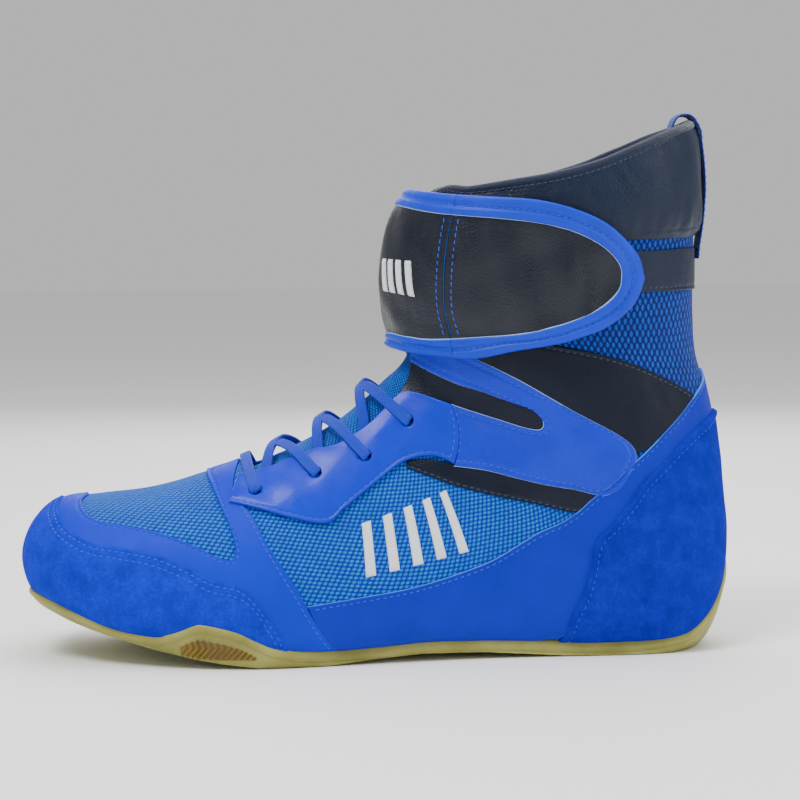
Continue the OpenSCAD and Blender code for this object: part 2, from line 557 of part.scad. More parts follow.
// ---------------------------------------------------------------- lace
// From under one hole, out over the tongue, over the other eyestay, down the next hole
high = top_out + 0.35 + lace_thick / 2;
deep = -2.05 - lace_thick / 2;
in_hole = 0.2;
function crossing(k, side, lift) =
  let (p = HOLES[k], q = HOLES[k + 1], du = q[0] - p[0], a = side * p[1], b = -side * q[1])
  [
    [p[0], a, in_hole], [p[0] + 0.02 * du, a * 0.98, deep + 0.4], [p[0] + 0.10 * du, a * 0.85, deep],
    [p[0] + 0.22 * du, a * 0.62, deep + 0.7], [p[0] + 0.36 * du, a * 0.30, lift - 1.0],
    [p[0] + 0.5 * du, 0, lift], [p[0] + 0.64 * du, b * 0.28, lift + 0.6],
    [p[0] + 0.80 * du, b * 0.62, high], [p[0] + 0.93 * du, b * 0.88, high],
    [q[0], b, high]
  ];
function tail(side) =
  let (q = HOLES[3], a = side * q[1])
  [[q[0], a, in_hole], [q[0] + 0.1, a, deep + 0.4], [q[0] + 0.6, a * 0.96, deep],
    [q[0] + 1.6, a * 0.86, deep], [q[0] + 2.8, a * 0.80, deep]];
function half_lace(side) =
  concat(
    [for (k = [0:2]) each crossing(k, k % 2 == 0 ? side : -side,
      ((k + (side > 0 ? 1 : 0)) % 2 == 0 ? 1.2 : 0.2))],
    tail(-side));
module lace() {
  bar = [for (t = [-0.88, -0.5, 0, 0.5, 0.88])
    [HOLES[0][0] - 0.05 * (1 - t * t), -t * HOLES[0][1], abs(t) > 0.6 ? high : 1.6]];
  outer_half = half_lace(-1);
  inner_half = half_lace(1);
  Q = concat([for (i = [len(inner_half) - 1:-1:0]) inner_half[i]],
    [[HOLES[0][0], HOLES[0][1], high]], bar,
    [[HOLES[0][0], -HOLES[0][1], high]], outer_half);
  n = len(Q) - 1;
  P = [for (q = Q) on_skin(q[0], q[1], q[2])];
  N = [for (q = Q) outward(q[0], q[1])];
  flat_run = [for (i = [0:n])
    let (d = P[min(n, i + 2)] - P[max(0, i - 2)], f = d - N[i] * (d * N[i])) f / norm(f)];
  X = [for (i = [0:n]) cross(N[i], flat_run[i]) * lace_width / 2 * (Q[i][2] == in_hole ? 0.7 : 1)];
  T = [for (i = [0:n]) let (d = P[min(n, i + 1)] - P[max(0, i - 1)]) d / norm(d)];
  Y = [for (i = [0:n]) let (y = cross(X[i], T[i])) y / norm(y) * lace_thick / 2];
  color([0.02, 0.37, 0.92]) band(P, X, Y, flat4, false);
}

// ---------------------------------------------------------------- strap
pile = 1;
strap_low = 0.95 + pile + strap_gap + pile * 0.7;
// Strap edges from the sewn root on the inner side to the tip on the outer side
STRAP_TOP = [[24.25, 0.30], [24.55, 0.15], [24.65, 0], [24.6, -0.2], [24.4, -0.5], [24.25, -0.73],
  [24.1, -0.9], [23.85, -1.04], [23.55, -1.17], [23.2, -1.27], [22.9, -1.33], [22.52, -1.36]];
STRAP_END = [[16.3, 0.30], [15, 0.15], [14.2, 0], [15.2, -0.2], [17.7, -0.5], [19.2, -0.73],
  [20.05, -0.9], [20.7, -1.04], [21.2, -1.17], [21.7, -1.27], [22.1, -1.33], [22.5, -1.36]];
seam = 4.15 / 11;
function part_of(L, s0, s1, n) = [for (i = [0:n]) along(L, mixed(s0, s1, i / n))];
lift_in = [[1.9, 1.9], [3.2, 2.2], [3.9, 2.4], [3.1, 2.4], [strap_low, strap_low]];
module strap_part(s0, s1, n, m, t0, t1, low, thick, lifts) {
  A = part_of(STRAP_TOP, s0, s1, n);
  B = part_of(STRAP_END, s0, s1, n);
  A2 = [for (i = [0:n]) mixed(A[i], B[i], t0)];
  B2 = [for (i = [0:n]) mixed(A[i], B[i], t1)];
  D = [for (d = lifts) [mixed(d[0], d[1], t0), mixed(d[0], d[1], t1)] + [low, low]];
  panel(A2, B2, n, m, D, [for (d = D) d + [thick, thick]]);
}
module strap_front_panel() {
  color(black) strap_part(0, seam - 0.004, 16, 6, 0.02, 0.98, 0, strap_thick, lift_in);
}
module strap_front_trim() {
  color(blue) {
    strap_part(0, seam - 0.004, 16, 1, 0, 0.15, strap_thick + 0.8, overlay_thick, lift_in);
    strap_part(0, seam - 0.004, 16, 1, 0.85, 1, strap_thick + 0.8, overlay_thick, lift_in);
  }
}
tip_lift = [[strap_low, strap_low]];
module strap_tip_panel() {
  color(black) strap_part(seam + 0.004, 1, 18, 6, 0.02, 0.98, 0, strap_thick, tip_lift);
}
module strap_tip_trim() {
  n = 26;
  top = part_of(STRAP_TOP, seam + 0.004, 1, n);
  low = part_of(STRAP_END, seam + 0.004, 1, n);
  outer = concat(top, [for (i = [n - 1:-1:0]) low[i]]);
  m = 2 * n;
  mid = [for (i = [0:m]) let (k = i <= n ? i : m - i, reach = max(0, (k - 0.62 * n) / (0.38 * n)))
    let (c = mixed(top[k], low[k], 0.5), tipward = [22.5, -1.22])
    mixed(mixed(outer[i], c, 0.30), tipward, i > 0.62 * n && i < 1.38 * n ? reach * 0.6 : 0)];
  low_face = strap_low + strap_thick + 0.35;
  top_face = low_face + overlay_thick;
  color(blue) panel(outer, mid, m, 1, [[low_face, low_face]], [[top_face, top_face]]);
}
module hook_patch() {
  color([0.08, 0.10, 0.12]) panel(
    [[23.4, -0.72], [23.2, -0.95], [22.9, -1.15], [22.6, -1.25]],
    [[20.2, -0.72], [20.9, -0.95], [21.6, -1.15], [22.2, -1.25]],
    10, 4, [[0.95 + pile + strap_gap * 0.8, 0.95 + pile + strap_gap * 0.8]],
    [[strap_low - 0.3, strap_low - 0.3]]);
}
module loop_patch() {
  color([0.06, 0.08, 0.10]) panel(
    [[23.05, -0.60], [23, -0.85], [22.9, -1.08], [22.8, -1.2]],
    [[20.2, -0.60], [20.8, -0.85], [21.3, -1.08], [21.8, -1.2]],
    10, 4, [[1.45, 1.45]], [[0.95 + pile, 0.95 + pile]]);
}
module strap_anchor() {
  color(black) panel(
    [[24.2, 0.325], [24.15, 0.45], [24.1, 0.62]],
    [[16.6, 0.325], [17.6, 0.45], [18.6, 0.62]],
    6, 6, [[1.9, 1.9]], [[3.4, 3.4], [3.2, 3.2], [2.8, 2.8]]);
}
module strap_badge() {
  color(white)
  for (i = [0:3]) {
    a = -0.10 - 0.07 * i;
    panel([[22.6, a], [21.2, a - 0.03]], [[22.6, a - 0.04], [21.2, a - 0.07]], 2, 1,
      [[5.75, 5.75]], [[6.3, 6.3]]);
  }
}

outsole();
midsole();
insole_board();
footbed();
toe_puff();
heel_counter();
lining_vamp();
lining_lateral();
lining_medial();
vamp_mesh();
quarter_mesh_lateral();
quarter_mesh_medial();
collar_mesh();
toe_guard();
toe_overlay();
lower_band_lateral();
lower_band_medial();
heel_guard();
eyestay_lateral();
eyestay_medial();
ankle_wing_lateral();
ankle_wing_medial();
slot_insert_lateral();
slot_insert_medial();
ankle_panel_lateral();
ankle_panel_medial();
accent_stripe_lateral();
accent_stripe_medial();
quarter_badge();
collar_band();
collar_pad();
collar_foam();
collar_binding();
pull_loop();
tongue();
tongue_binding();
lace();
loop_patch();
strap_anchor();
strap_front_panel();
strap_front_trim();
strap_badge();
strap_tip_panel();
strap_tip_trim();
hook_patch();
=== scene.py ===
"""Looks of the boxing boot. Every upper panel is a patch of one last-shaped surface, the same one that
the CAD uses, so each piece lies where its CAD node lies. Lengths are millimetres until add_mesh."""
import bmesh
import bpy
import math
import numpy as np
from mathutils import Matrix, Vector


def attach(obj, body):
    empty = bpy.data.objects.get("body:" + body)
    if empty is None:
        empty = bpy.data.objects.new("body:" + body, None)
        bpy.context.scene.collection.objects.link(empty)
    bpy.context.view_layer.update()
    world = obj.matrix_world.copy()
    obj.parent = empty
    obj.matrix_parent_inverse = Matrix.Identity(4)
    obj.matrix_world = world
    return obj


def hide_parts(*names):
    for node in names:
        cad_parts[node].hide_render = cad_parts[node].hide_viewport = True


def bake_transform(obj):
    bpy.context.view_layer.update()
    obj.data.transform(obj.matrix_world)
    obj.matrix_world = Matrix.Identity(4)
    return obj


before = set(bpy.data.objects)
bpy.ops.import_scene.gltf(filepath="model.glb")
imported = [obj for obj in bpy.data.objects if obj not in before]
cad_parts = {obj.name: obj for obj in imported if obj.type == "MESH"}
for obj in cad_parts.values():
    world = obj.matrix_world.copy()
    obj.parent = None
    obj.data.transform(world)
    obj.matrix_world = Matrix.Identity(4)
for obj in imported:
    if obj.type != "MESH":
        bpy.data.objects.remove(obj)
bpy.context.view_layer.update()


MM = 0.001
rng = np.random.default_rng(7)

# ------------------------------------------------------------------ last surface
# A point of the last is (u, a): u is the row of LAST, from the toe to the mouth, and a goes round it,
# 0 along the top, -1 outer side, 1 inner side, 2 and -2 along the bottom or the back.
# Columns: x and z below, x and z above, half width outside and inside, height of the widest place,
# roundness below and above, shift sideways.
X_MID, Y_MID = 1.3, 1.0
LAST = np.array([
    [-135.5, 22, -135.5, 22, 0, 0, 0.5, 0.55, 0.55, 7],
    [-131.5, 21, -142.5, 30, 21, 21, 0.48, 0.58, 0.55, 7],
    [-125, 19, -144.6, 42, 31, 31, 0.4, 0.66, 0.58, 7],
    [-116, 15.8, -139.5, 53.5, 38, 37, 0.34, 0.74, 0.6, 6],
    [-104, 12.6, -129.5, 61.5, 43, 41, 0.29, 0.8, 0.6, 5],
    [-89, 9.2, -112, 64.5, 46, 44, 0.26, 0.84, 0.6, 3],
    [-72, 6.3, -92, 66.8, 48, 46, 0.24, 0.86, 0.58, 1],
    [-54, 4.6, -72, 72.3, 49, 46, 0.22, 0.88, 0.55, 0],
    [-35, 4.2, -54, 78.5, 48, 43, 0.22, 0.88, 0.52, -1],
    [-12, 5, -38, 86.3, 45, 39, 0.22, 0.88, 0.5, -1],
    [14, 6.6, -23, 94.3, 41, 36, 0.22, 0.88, 0.5, -1],
    [42, 6, -9, 104.5, 37, 34, 0.24, 0.88, 0.5, 0],
    [72, 4.4, -1, 112.5, 35, 34, 0.27, 0.88, 0.52, 0],
    [98, 4.2, 4.5, 117.5, 34, 34, 0.3, 0.86, 0.54, 0],
    [120, 4.6, 7, 121, 34, 34, 0.34, 0.8, 0.56, 0],
    [133.5, 11.5, 8, 124, 34, 34, 0.38, 0.72, 0.58, 0],
    [139.8, 28, 8.3, 127, 34, 34, 0.41, 0.64, 0.58, 0],
    [141.4, 46, 8, 130, 34, 34, 0.43, 0.58, 0.58, 0],
    [140, 62, 7.5, 133, 34, 34, 0.45, 0.56, 0.58, 0],
    [138, 82, 7, 136, 35, 35, 0.46, 0.54, 0.58, 0],
    [134.4, 103, 6.5, 140, 35, 35, 0.47, 0.54, 0.58, 0],
    [130, 119, 6.2, 145, 36, 36, 0.48, 0.54, 0.58, 0],
    [128.7, 138, 6.2, 152, 37, 37, 0.48, 0.55, 0.58, 0],
    [128.8, 160, 7.5, 163, 38, 38, 0.48, 0.56, 0.58, 0],
    [129.6, 186, 11.5, 175, 39, 39, 0.49, 0.57, 0.58, 0],
    [128.2, 212, 20, 186, 39, 39, 0.5, 0.57, 0.58, 0],
], float)


def curve(L, x):
    """Smooth curve through the rows of L, at row number x."""
    L = np.asarray(L, float)
    n = len(L) - 1
    x = np.clip(np.asarray(x, float), 0, n)
    if n == 0:
        return np.broadcast_to(L[0], x.shape + L.shape[1:])
    i = np.minimum(x.astype(int), n - 1)
    t = (x - i)[..., None]
    a, b, c, d = L[np.maximum(i - 1, 0)], L[i], L[i + 1], L[np.minimum(i + 2, n)]
    return 0.5 * (2 * b + (c - a) * t + (2 * a - 5 * b + 4 * c - d) * t * t
                  + (3 * b - a - 3 * c + d) * t ** 3)


def along(L, s):
    return curve(L, np.asarray(s, float) * (len(L) - 1))


def bezier(a, b, c, d, t):
    return a * (1 - t) ** 3 + 3 * b * t * (1 - t) ** 2 + 3 * c * t * t * (1 - t) + d * t ** 3


def quartic(a, b, c, d, e, t):
    return bezier(a, b, c, d, t) * (1 - t) + bezier(b, c, d, e, t) * t


def run_length(P, axis=0):
    """Length along P up to each of its points."""
    step = np.linalg.norm(np.diff(P, axis=axis), axis=-1)
    start = np.zeros_like(np.take(step, [0], axis))
    return np.concatenate([start, np.cumsum(step, axis)], axis)


def bilinear(table, x, y, soft=False):
    """Value of a 2-D table between its points; soft eases from point to point."""
    i = np.minimum(x.astype(int), table.shape[0] - 2)
    j = np.minimum(y.astype(int), table.shape[1] - 2)
    fx, fy = x - i, y - j
    if soft:
        fx, fy = fx * fx * (3 - 2 * fx), fy * fy * (3 - 2 * fy)
    return ((table[i, j] * (1 - fx) + table[i + 1, j] * fx) * (1 - fy)
            + (table[i, j + 1] * (1 - fx) + table[i + 1, j + 1] * fx) * fy)


def grid(s, t):
    return np.meshgrid(s, t, indexing="ij")


def skin(u, a):
    u, a = np.broadcast_arrays(np.asarray(u, float), np.asarray(a, float))
    a = np.where(a > 2, a - 4, np.where(a < -2, a + 4, a))
    r = curve(LAST, u)
    m = np.abs(a)
    q = np.clip(np.where(m <= 1, m, m - 1), 0, 1)
    tm, hb, hf = r[..., 6], r[..., 7], r[..., 8]
    boxy = np.clip(5 * (hb - 0.58), 0, 1)
    drop = tm * (1 - hb)
    o = 0 * tm
    up_t = bezier(1, 1, tm + hf * (1 - tm), tm, q)
    lo_t = bezier(tm, drop, o, o, q) * (1 - boxy) + quartic(tm, drop, o, o, o, q) * boxy
    up_w = bezier(0, hf, 1, 1, q)
    lo_w = bezier(1, 1, hb, 0, q) * (1 - boxy) + quartic(1, 1, 1, hb, 0, q) * boxy
    t = np.where(m <= 1, up_t, lo_t)
    w = np.where(m <= 1, up_w, lo_w) * np.where(a < 0, -r[..., 4], r[..., 5])
    return np.stack([X_MID + r[..., 0] + (r[..., 2] - r[..., 0]) * t,
                     Y_MID + r[..., 9] + w,
                     r[..., 1] + (r[..., 3] - r[..., 1]) * t], -1)


def unit(v):
    return v / np.maximum(np.linalg.norm(v, axis=-1, keepdims=True), 1e-9)


def outward(u, a, e=0.02):
    u, a = np.broadcast_arrays(np.asarray(u, float), np.asarray(a, float))
    du = skin(np.minimum(25, u + e), a) - skin(np.maximum(0.05, u - e), a)
    da = skin(u, a + e) - skin(u, a - e)
    return unit(np.cross(du, da))


def waves(p, size, seed):
    """Smooth repeatable unevenness in about -1..1, from sums of sines in space."""
    g = np.random.default_rng(seed)
    total = 0
    for _ in range(7):
        d = unit(g.normal(size=3))
        f = 2 * math.pi / (size * g.uniform(0.6, 1.6))
        total = total + np.sin(p @ d * f + g.uniform(0, 6.28)) * g.uniform(0.5, 1)
    return total / 4


def unevenness(u, a, p):
    """Small unevenness shared by every layer, so that the layers stay together: soft waves all over,
    flex creases across the vamp and crumpling round the ankle."""
    flex = np.exp(-((u - 7.4) / 1.6) ** 2) * np.exp(-((np.abs(a) - 0.45) / 0.55) ** 2)
    ankle = np.exp(-((u - 15.5) / 3) ** 2) * np.exp(-((np.abs(a) - 0.6) / 0.6) ** 2)
    return (0.28 * waves(p, 46, 3) + 0.12 * waves(p, 17, 4)
            + 0.35 * flex * waves(p * [1.6, 0.5, 0.8], 16, 5)
            + 0.30 * ankle * waves(p * [0.7, 0.7, 1.5], 20, 6)) * np.clip(u - 1, 0, 1)


def on_skin(u, a, d):
    """Point in mm that lies d outside the last at (u, a)."""
    u, a, d = np.broadcast_arrays(np.asarray(u, float), np.asarray(a, float), np.asarray(d, float))
    p = skin(u, a)
    return p + (d + unevenness(u, a, p))[..., None] * outward(u, a)


# Lengths along the boot and round the girth, so that a weave runs true over every panel
GRID_U, GRID_A = np.linspace(0, 25, 251), np.linspace(-4, 4, 401)
LAID = skin(GRID_U[:, None], GRID_A[None, :])
LEN_U = np.concatenate([[0], np.cumsum(np.linalg.norm(np.diff(LAID, axis=0), axis=-1).mean(1))])
LEN_A = run_length(LAID, 1)
LEN_A = LEN_A - LEN_A[:, 200:201]


def cloth_place(u, a):
    """Where a point lies in the flat cloth, in mm."""
    x = np.clip(u, 0, 24.999) * 10
    y = np.clip((a + 4) * 50, 0, 399.99)
    return np.stack([np.interp(u, GRID_U, LEN_U), bilinear(LEN_A, x, y)], -1)


# ------------------------------------------------------------------ materials
def srgb(*c):
    return tuple((v / 255 / 12.92 if v / 255 <= 0.04045 else ((v / 255 + 0.055) / 1.055) ** 2.4)
                 for v in c) + (1,)


def dye(*c):
    """A colour deepened so that it still looks this rich under bright studio light."""
    return tuple(k * v ** 1.12 for k, v in zip((0.40, 0.46, 0.72), srgb(*c)[:3])) + (1,)


class Mat:
    """A material under construction: the principled shader and a few helpers. Sizes are in mm."""

    def __init__(self, name, **sockets):
        self.mat = bpy.data.materials.new(name)
        self.mat.use_nodes = True
        self.t = self.mat.node_tree
        self.bsdf = self.t.nodes["Principled BSDF"]
        self.coords = self.t.nodes.new("ShaderNodeTexCoord")
        for key, value in sockets.items():
            self.put(value, self.bsdf.inputs[key.replace("_", " ")])

    def put(self, value, socket):
        """Links another socket to this one, or sets a constant on it."""
        if hasattr(value, "is_linked"):
            self.t.links.new(value, socket)
        else:
            socket.default_value = value

    def node(self, kind, **inputs):
        n = self.t.nodes.new("ShaderNode" + kind)
        for key, value in inputs.items():
            if hasattr(n, key):
                setattr(n, key, value)
            else:
                self.put(value, n.inputs[key.replace("_", " ")])
        return n

    def space(self, uv=False, scale=(1, 1, 1), turn=0.0):
        """Coordinates in millimetres, in space or in the flat cloth."""
        k = 10 if uv else 1000
        return self.node("Mapping", Vector=self.coords.outputs["UV" if uv else "Object"],
                         Scale=[k * v for v in scale],
                         Rotation=(0, 0, math.radians(turn))).outputs["Vector"]

    def noise(self, size, detail=3, rough=0.6, scale=(1, 1, 1)):
        return self.node("TexNoise", Vector=self.space(False, scale), Scale=1 / size, Detail=detail,
                         Roughness=rough).outputs["Fac"]

    def wave(self, scale, distortion, detail, turn, uv=True):
        return self.node("TexWave", Vector=self.space(uv, (1, 1, 1), turn), Scale=scale,
                         Distortion=distortion, Detail=detail).outputs["Fac"]

    def cells(self, size, **more):
        return self.node("TexVoronoi", Vector=self.space(), Scale=1 / size, **more).outputs["Distance"]

    def product(self, a, b):
        n = self.node("Math", operation="MULTIPLY")
        self.put(a, n.inputs[0])
        self.put(b, n.inputs[1])
        return n.outputs[0]

    def spread(self, value, low, high, to_low=0.0, to_high=1.0, smooth=False):
        """Value's range low..high stretched to to_low..to_high."""
        n = self.node("MapRange", interpolation_type="SMOOTHSTEP" if smooth else "LINEAR")
        for v, socket in zip((value, low, high, to_low, to_high), n.inputs):
            self.put(v, socket)
        return n.outputs[0]

    def mix(self, fac, a, b):
        n = self.node("Mix", data_type="RGBA")
        for v, i in ((fac, 0), (a, 6), (b, 7)):
            self.put(v, n.inputs[i])
        return n.outputs[2]

    def colour(self, out):
        self.put(out, self.bsdf.inputs["Base Color"])

    def rough(self, out):
        self.put(out, self.bsdf.inputs["Roughness"])

    def bump(self, *heights):
        """Each height is (socket, depth in mm)."""
        normal = None
        for height, depth in heights:
            b = self.node("Bump", Height=height, Distance=depth / 1000, Strength=1)
            if normal:
                self.put(normal, b.inputs["Normal"])
            normal = b.outputs["Normal"]
        self.put(normal, self.bsdf.inputs["Normal"])
        return self.mat


def shade(c, k):
    return tuple(min(1, v * k) for v in c[:3]) + (1,)


def suede(name, c):
    m = Mat(name, Roughness=0.92, Sheen_Weight=0.12, Sheen_Roughness=0.45,
            Sheen_Tint=shade(c, 1.6), Specular_IOR_Level=0.12)
    nap = m.noise(1.1, 5, 0.78)
    patches = m.noise(8, 5, 0.66)
    brushed = m.noise(3.0, 4, 0.7, scale=(1, 1, 0.35))
    body = m.mix(m.spread(patches, 0.34, 0.66), shade(c, 0.72), shade(c, 1.18))
    body = m.mix(m.spread(brushed, 0.5, 0.72, 0, 0.30), body, shade(c, 1.6))
    m.colour(m.mix(m.spread(nap, 0.36, 0.64, 0, 0.55), body, shade(c, 0.50)))
    return m.bump((nap, 0.40), (m.noise(2.4, 3, 0.6), 0.22))


def knit(name, base, dot, pitch=(2.3, 1.5), turn=32, cover=0.42, sheen=0.05):
    """Sandwich mesh: rows of raised oval stitches over a darker ground of fine yarn. The ground's darkness
    is partly the yarn's own tone and partly painted shade in the holes between the stitches; the stitches'
    lighter colour is partly their own and partly painted highlight.
    """
    m = Mat(name, Roughness=0.72, Sheen_Weight=sheen, Sheen_Roughness=0.4, Specular_IOR_Level=0.18)
    place = m.space(True, (1 / pitch[0], 1 / pitch[1], 1), turn)
    cell = m.node("TexVoronoi", Vector=place, Scale=1.0, Randomness=0.10, voronoi_dimensions="2D")
    knot = m.spread(cell.outputs["Distance"], cover - 0.14, cover + 0.06, 1, 0, True)
    yarn = m.wave(0.95, 1.6, 2.0, turn + 90)
    fuzz = m.noise(0.5, 3, 0.7)
    # painted shade and painted highlight: the ground between the raised stitches is darkened and the stitch
    # tops lightened, on top of the mesh's own two tones
    ground = m.mix(yarn, shade(base, 0.62), shade(base, 1.15))
    top = m.mix(m.spread(fuzz, 0.3, 0.7), shade(dot, 0.82), shade(dot, 1.12))
    worn = m.spread(m.noise(14, 3), 0.42, 0.7, 0, 0.22)
    m.colour(m.mix(worn, m.mix(knot, ground, top), shade(base, 0.7)))
    return m.bump((knot, 0.34), (yarn, 0.09), (fuzz, 0.07))


def coated(name, c, gloss=0.34, coat=0.0, grain=1.1, depth=0.05, ripple=0.16, wear=0.25,
           shine=0.2):
    """Coated fabric or film: faint grain, slow ripples that break up reflections, dulled patches."""
    m = Mat(name, Specular_IOR_Level=shine, Coat_Weight=coat, Coat_Roughness=0.12)
    slow = m.noise(15, 3, 0.5)
    smear = m.noise(5, 4, 0.6, scale=(1, 1, 0.4))
    m.colour(m.mix(m.spread(slow, 0.35, 0.7, 0, 0.6), c, shade(c, 0.80)))
    m.rough(m.spread(smear, 0.3, 0.75, gloss - 0.07, gloss + wear * 0.6))
    pores = m.spread(m.cells(grain, feature="DISTANCE_TO_EDGE"), 0.0, 0.22, 0, 1, True)
    return m.bump((m.noise(11, 2, 0.45), ripple), (pores, depth), (m.noise(0.35, 2), 0.015))


def webbing(name, c, pitch=0.9, gleam=0.25):
    """Flat woven tape: ribs one way, picks the other way."""
    m = Mat(name, Roughness=0.66, Sheen_Weight=gleam, Sheen_Roughness=0.35, Specular_IOR_Level=0.35)
    pick = m.spread(m.wave(0.5 / pitch, 0.6, 1.0, 90), 0, 1, 0.45, 1)
    weave = m.product(m.wave(0.31 / pitch, 0.3, 1.0, 0), pick)
    fuzz = m.noise(0.4, 3, 0.7)
    body = m.mix(weave, shade(c, 0.5), shade(c, 1.2))
    m.colour(m.mix(m.spread(fuzz, 0.45, 0.75, 0, 0.3), body, shade(c, 1.5)))
    return m.bump((weave, 0.20), (fuzz, 0.05))


def fleece(name, c, size=0.8, depth=0.35):
    """Looped or brushed pile."""
    m = Mat(name, Roughness=0.95, Sheen_Weight=0.35, Sheen_Roughness=0.5, Specular_IOR_Level=0.15)
    fuzz = m.noise(size * 0.6, 4, 0.8)
    m.colour(m.mix(m.spread(fuzz, 0.3, 0.75), shade(c, 0.6), shade(c, 1.5)))
    return m.bump((m.cells(size), depth), (fuzz, depth * 0.5))


def foam(name, c):
    m = Mat(name, Roughness=0.85, Specular_IOR_Level=0.2)
    m.colour(m.mix(m.spread(m.noise(6, 3), 0.35, 0.7), c, shade(c, 0.86)))
    return m.bump((m.cells(0.7), 0.10), (m.noise(2.5, 3), 0.06))


def thread(name, c):
    m = Mat(name, Roughness=0.6, Sheen_Weight=0.2, Specular_IOR_Level=0.4)
    twist = m.wave(1.1, 0.8, 1.0, 38, False)
    m.colour(m.mix(twist, shade(c, 0.72), shade(c, 1.12)))
    return m.bump((twist, 0.05))


def rubber(name, c, pale, deep):
    """Translucent gum: paler in soft clouds, deeper and dusty in scuffed patches."""
    m = Mat(name, Specular_IOR_Level=0.45, Subsurface_Weight=0.35, Subsurface_Scale=0.006,
            Subsurface_Radius=(1.0, 0.8, 0.25))
    cloud = m.noise(18, 3, 0.55)
    scuff = m.noise(4.5, 4, 0.7)
    body = m.mix(m.spread(cloud, 0.34, 0.68), c, pale)
    body = m.mix(m.spread(scuff, 0.52, 0.78, 0, 0.35), body, deep)
    m.colour(body)
    m.rough(m.spread(scuff, 0.3, 0.75, 0.36, 0.62))
    return m.bump((m.noise(0.5, 3, 0.6), 0.03), (m.noise(7, 3), 0.10))


def make_materials():
    """Every material by its short name: maker, full name, then the maker's own arguments."""
    rows = {
        "suede_toe": (suede, "suede_toe", dye(0, 72, 238)),
        "suede_heel": (suede, "suede_heel", dye(0, 56, 208)),
        "mesh": (knit, "mesh_blue", dye(0, 74, 200), dye(10, 186, 255)),
        "mesh_tongue": (knit, "mesh_tongue", dye(0, 90, 216), dye(14, 186, 255), (2.0, 1.4), 20),
        "mesh_collar": (knit, "mesh_collar", dye(0, 46, 128), dye(30, 124, 228), (2.9, 1.9), 40, 0.40),
        "film": (coated, "film_blue", dye(0, 70, 232), 0.2, 0.1, 0.8, 0.012, 0.24, 0.2, 0.12),
        "film_toe": (coated, "film_toe", dye(0, 72, 230), 0.46, 0.0, 0.9, 0.03, 0.12, 0.2, 0.09),
        "wing": (coated, "coated_blue", dye(0, 66, 226), 0.3, 0.1, 1.0, 0.03, 0.2, 0.25),
        "band": (coated, "coated_band", dye(0, 56, 204), 0.44, 0.03, 1.0, 0.05, 0.16, 0.3, 0.14),
        "strap_blue": (coated, "strap_blue", dye(0, 84, 232), 0.38, 0.05, 0.9, 0.04, 0.14, 0.25),
        "black": (coated, "coated_black", dye(16, 34, 50), 0.34, 0.06, 1.2, 0.05, 0.18, 0.3, 0.22),
        "ankle": (coated, "coated_ankle", dye(18, 34, 50), 0.42, 0.0, 1.3, 0.06, 0.2, 0.3),
        "pad": (coated, "pad_black", dye(26, 50, 70), 0.4, 0.0, 1.4, 0.07, 0.3, 0.3, 0.26),
        "strap_black": (coated, "strap_black", dye(13, 29, 44), 0.34, 0.08, 1.5, 0.06, 0.34, 0.3, 0.36),
        "cut": (coated, "cut_edge", srgb(150, 182, 230), 0.55, 0.0, 0.5, 0.04, 0.05),
        "cut_blue": (coated, "cut_edge_blue", srgb(60, 128, 236), 0.5, 0.0, 0.5, 0.04, 0.05),
        "binding": (fleece, "binding", dye(40, 56, 74), 0.55, 0.25),
        "pile": (fleece, "pile", dye(22, 28, 34), 0.9, 0.45),
        "lining": (knit, "lining", dye(24, 36, 52), dye(64, 84, 112), (1.8, 1.3), 45, 0.4, 0.1),
        "footbed": (fleece, "footbed", dye(40, 54, 76), 0.6, 0.14),
        "tape": (webbing, "webbing", dye(28, 84, 190)),
        "lace": (webbing, "lace", dye(0, 92, 250), 0.55, 0.08),
        "thread_blue": (thread, "thread_blue", dye(16, 104, 244)),
        "thread_dark": (thread, "thread_dark", dye(62, 84, 112)),
        "thread_white": (thread, "thread_white", srgb(226, 232, 238)),
        "gum": (rubber, "gum", srgb(122, 118, 42), srgb(154, 152, 76), srgb(92, 84, 22)),
        "gum_deep": (rubber, "gum_deep", srgb(104, 80, 12), srgb(128, 104, 24), srgb(66, 50, 6)),
        "eva": (foam, "eva", srgb(214, 216, 214)),
        "foam": (foam, "foam", srgb(208, 198, 160)),
        "board": (foam, "board", srgb(198, 186, 158)),
        "stiffener": (foam, "stiffener", srgb(190, 182, 158)),
    }
    return {key: make(*how) for key, (make, *how) in rows.items()}


M = make_materials()

# ------------------------------------------------------------------ mesh building

def carry(o, body):
    """Rides on its body, except the strap's two halves, which are only baked in place."""
    if body == "strap_front":
        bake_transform(o)
    elif body == "strap_tip":
        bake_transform(o)
    else:
        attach(o, body)


def link(name, data):
    o = bpy.data.objects.new(name, data)
    bpy.context.scene.collection.objects.link(o)
    return o


def add_mesh(name, verts, faces, mats, body="boot", face_mat=None, uv=None, replaces=(), slot=None):
    """One visible piece from points in mm; uv is each point's place in the flat cloth, in mm."""
    me = bpy.data.meshes.new(name)
    me.from_pydata((np.asarray(verts) * MM).tolist(), [], [list(map(int, f)) for f in faces])
    for m in mats:
        me.materials.append(M[m])
    if face_mat is not None:
        me.polygons.foreach_set("material_index", np.asarray(face_mat, np.int32))
    if uv is not None:
        layer = me.uv_layers.new(name="UVMap")
        corner = np.zeros(len(me.loops), np.int32)
        me.loops.foreach_get("vertex_index", corner)
        layer.data.foreach_set("uv", (np.asarray(uv, np.float32)[corner] * 0.1).ravel())
    me.polygons.foreach_set("use_smooth", np.ones(len(me.polygons), bool))
    me.update()
    o = link(name, me)
    if body:
        carry(o, body)
    if replaces:
        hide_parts(*([replaces] if isinstance(replaces, str) else replaces))
    return o


def inner_side(L):
    return [[p[0], -p[1]] for p in L]


def across_front(L):
    return [[p[0], -p[1]] for p in L[:0:-1]] + L


def across_back(L):
    return L + [[p[0], -4 - p[1]] for p in L[-2::-1]]


def guide(L):
    return L if callable(L) else lambda s: along(L, s)


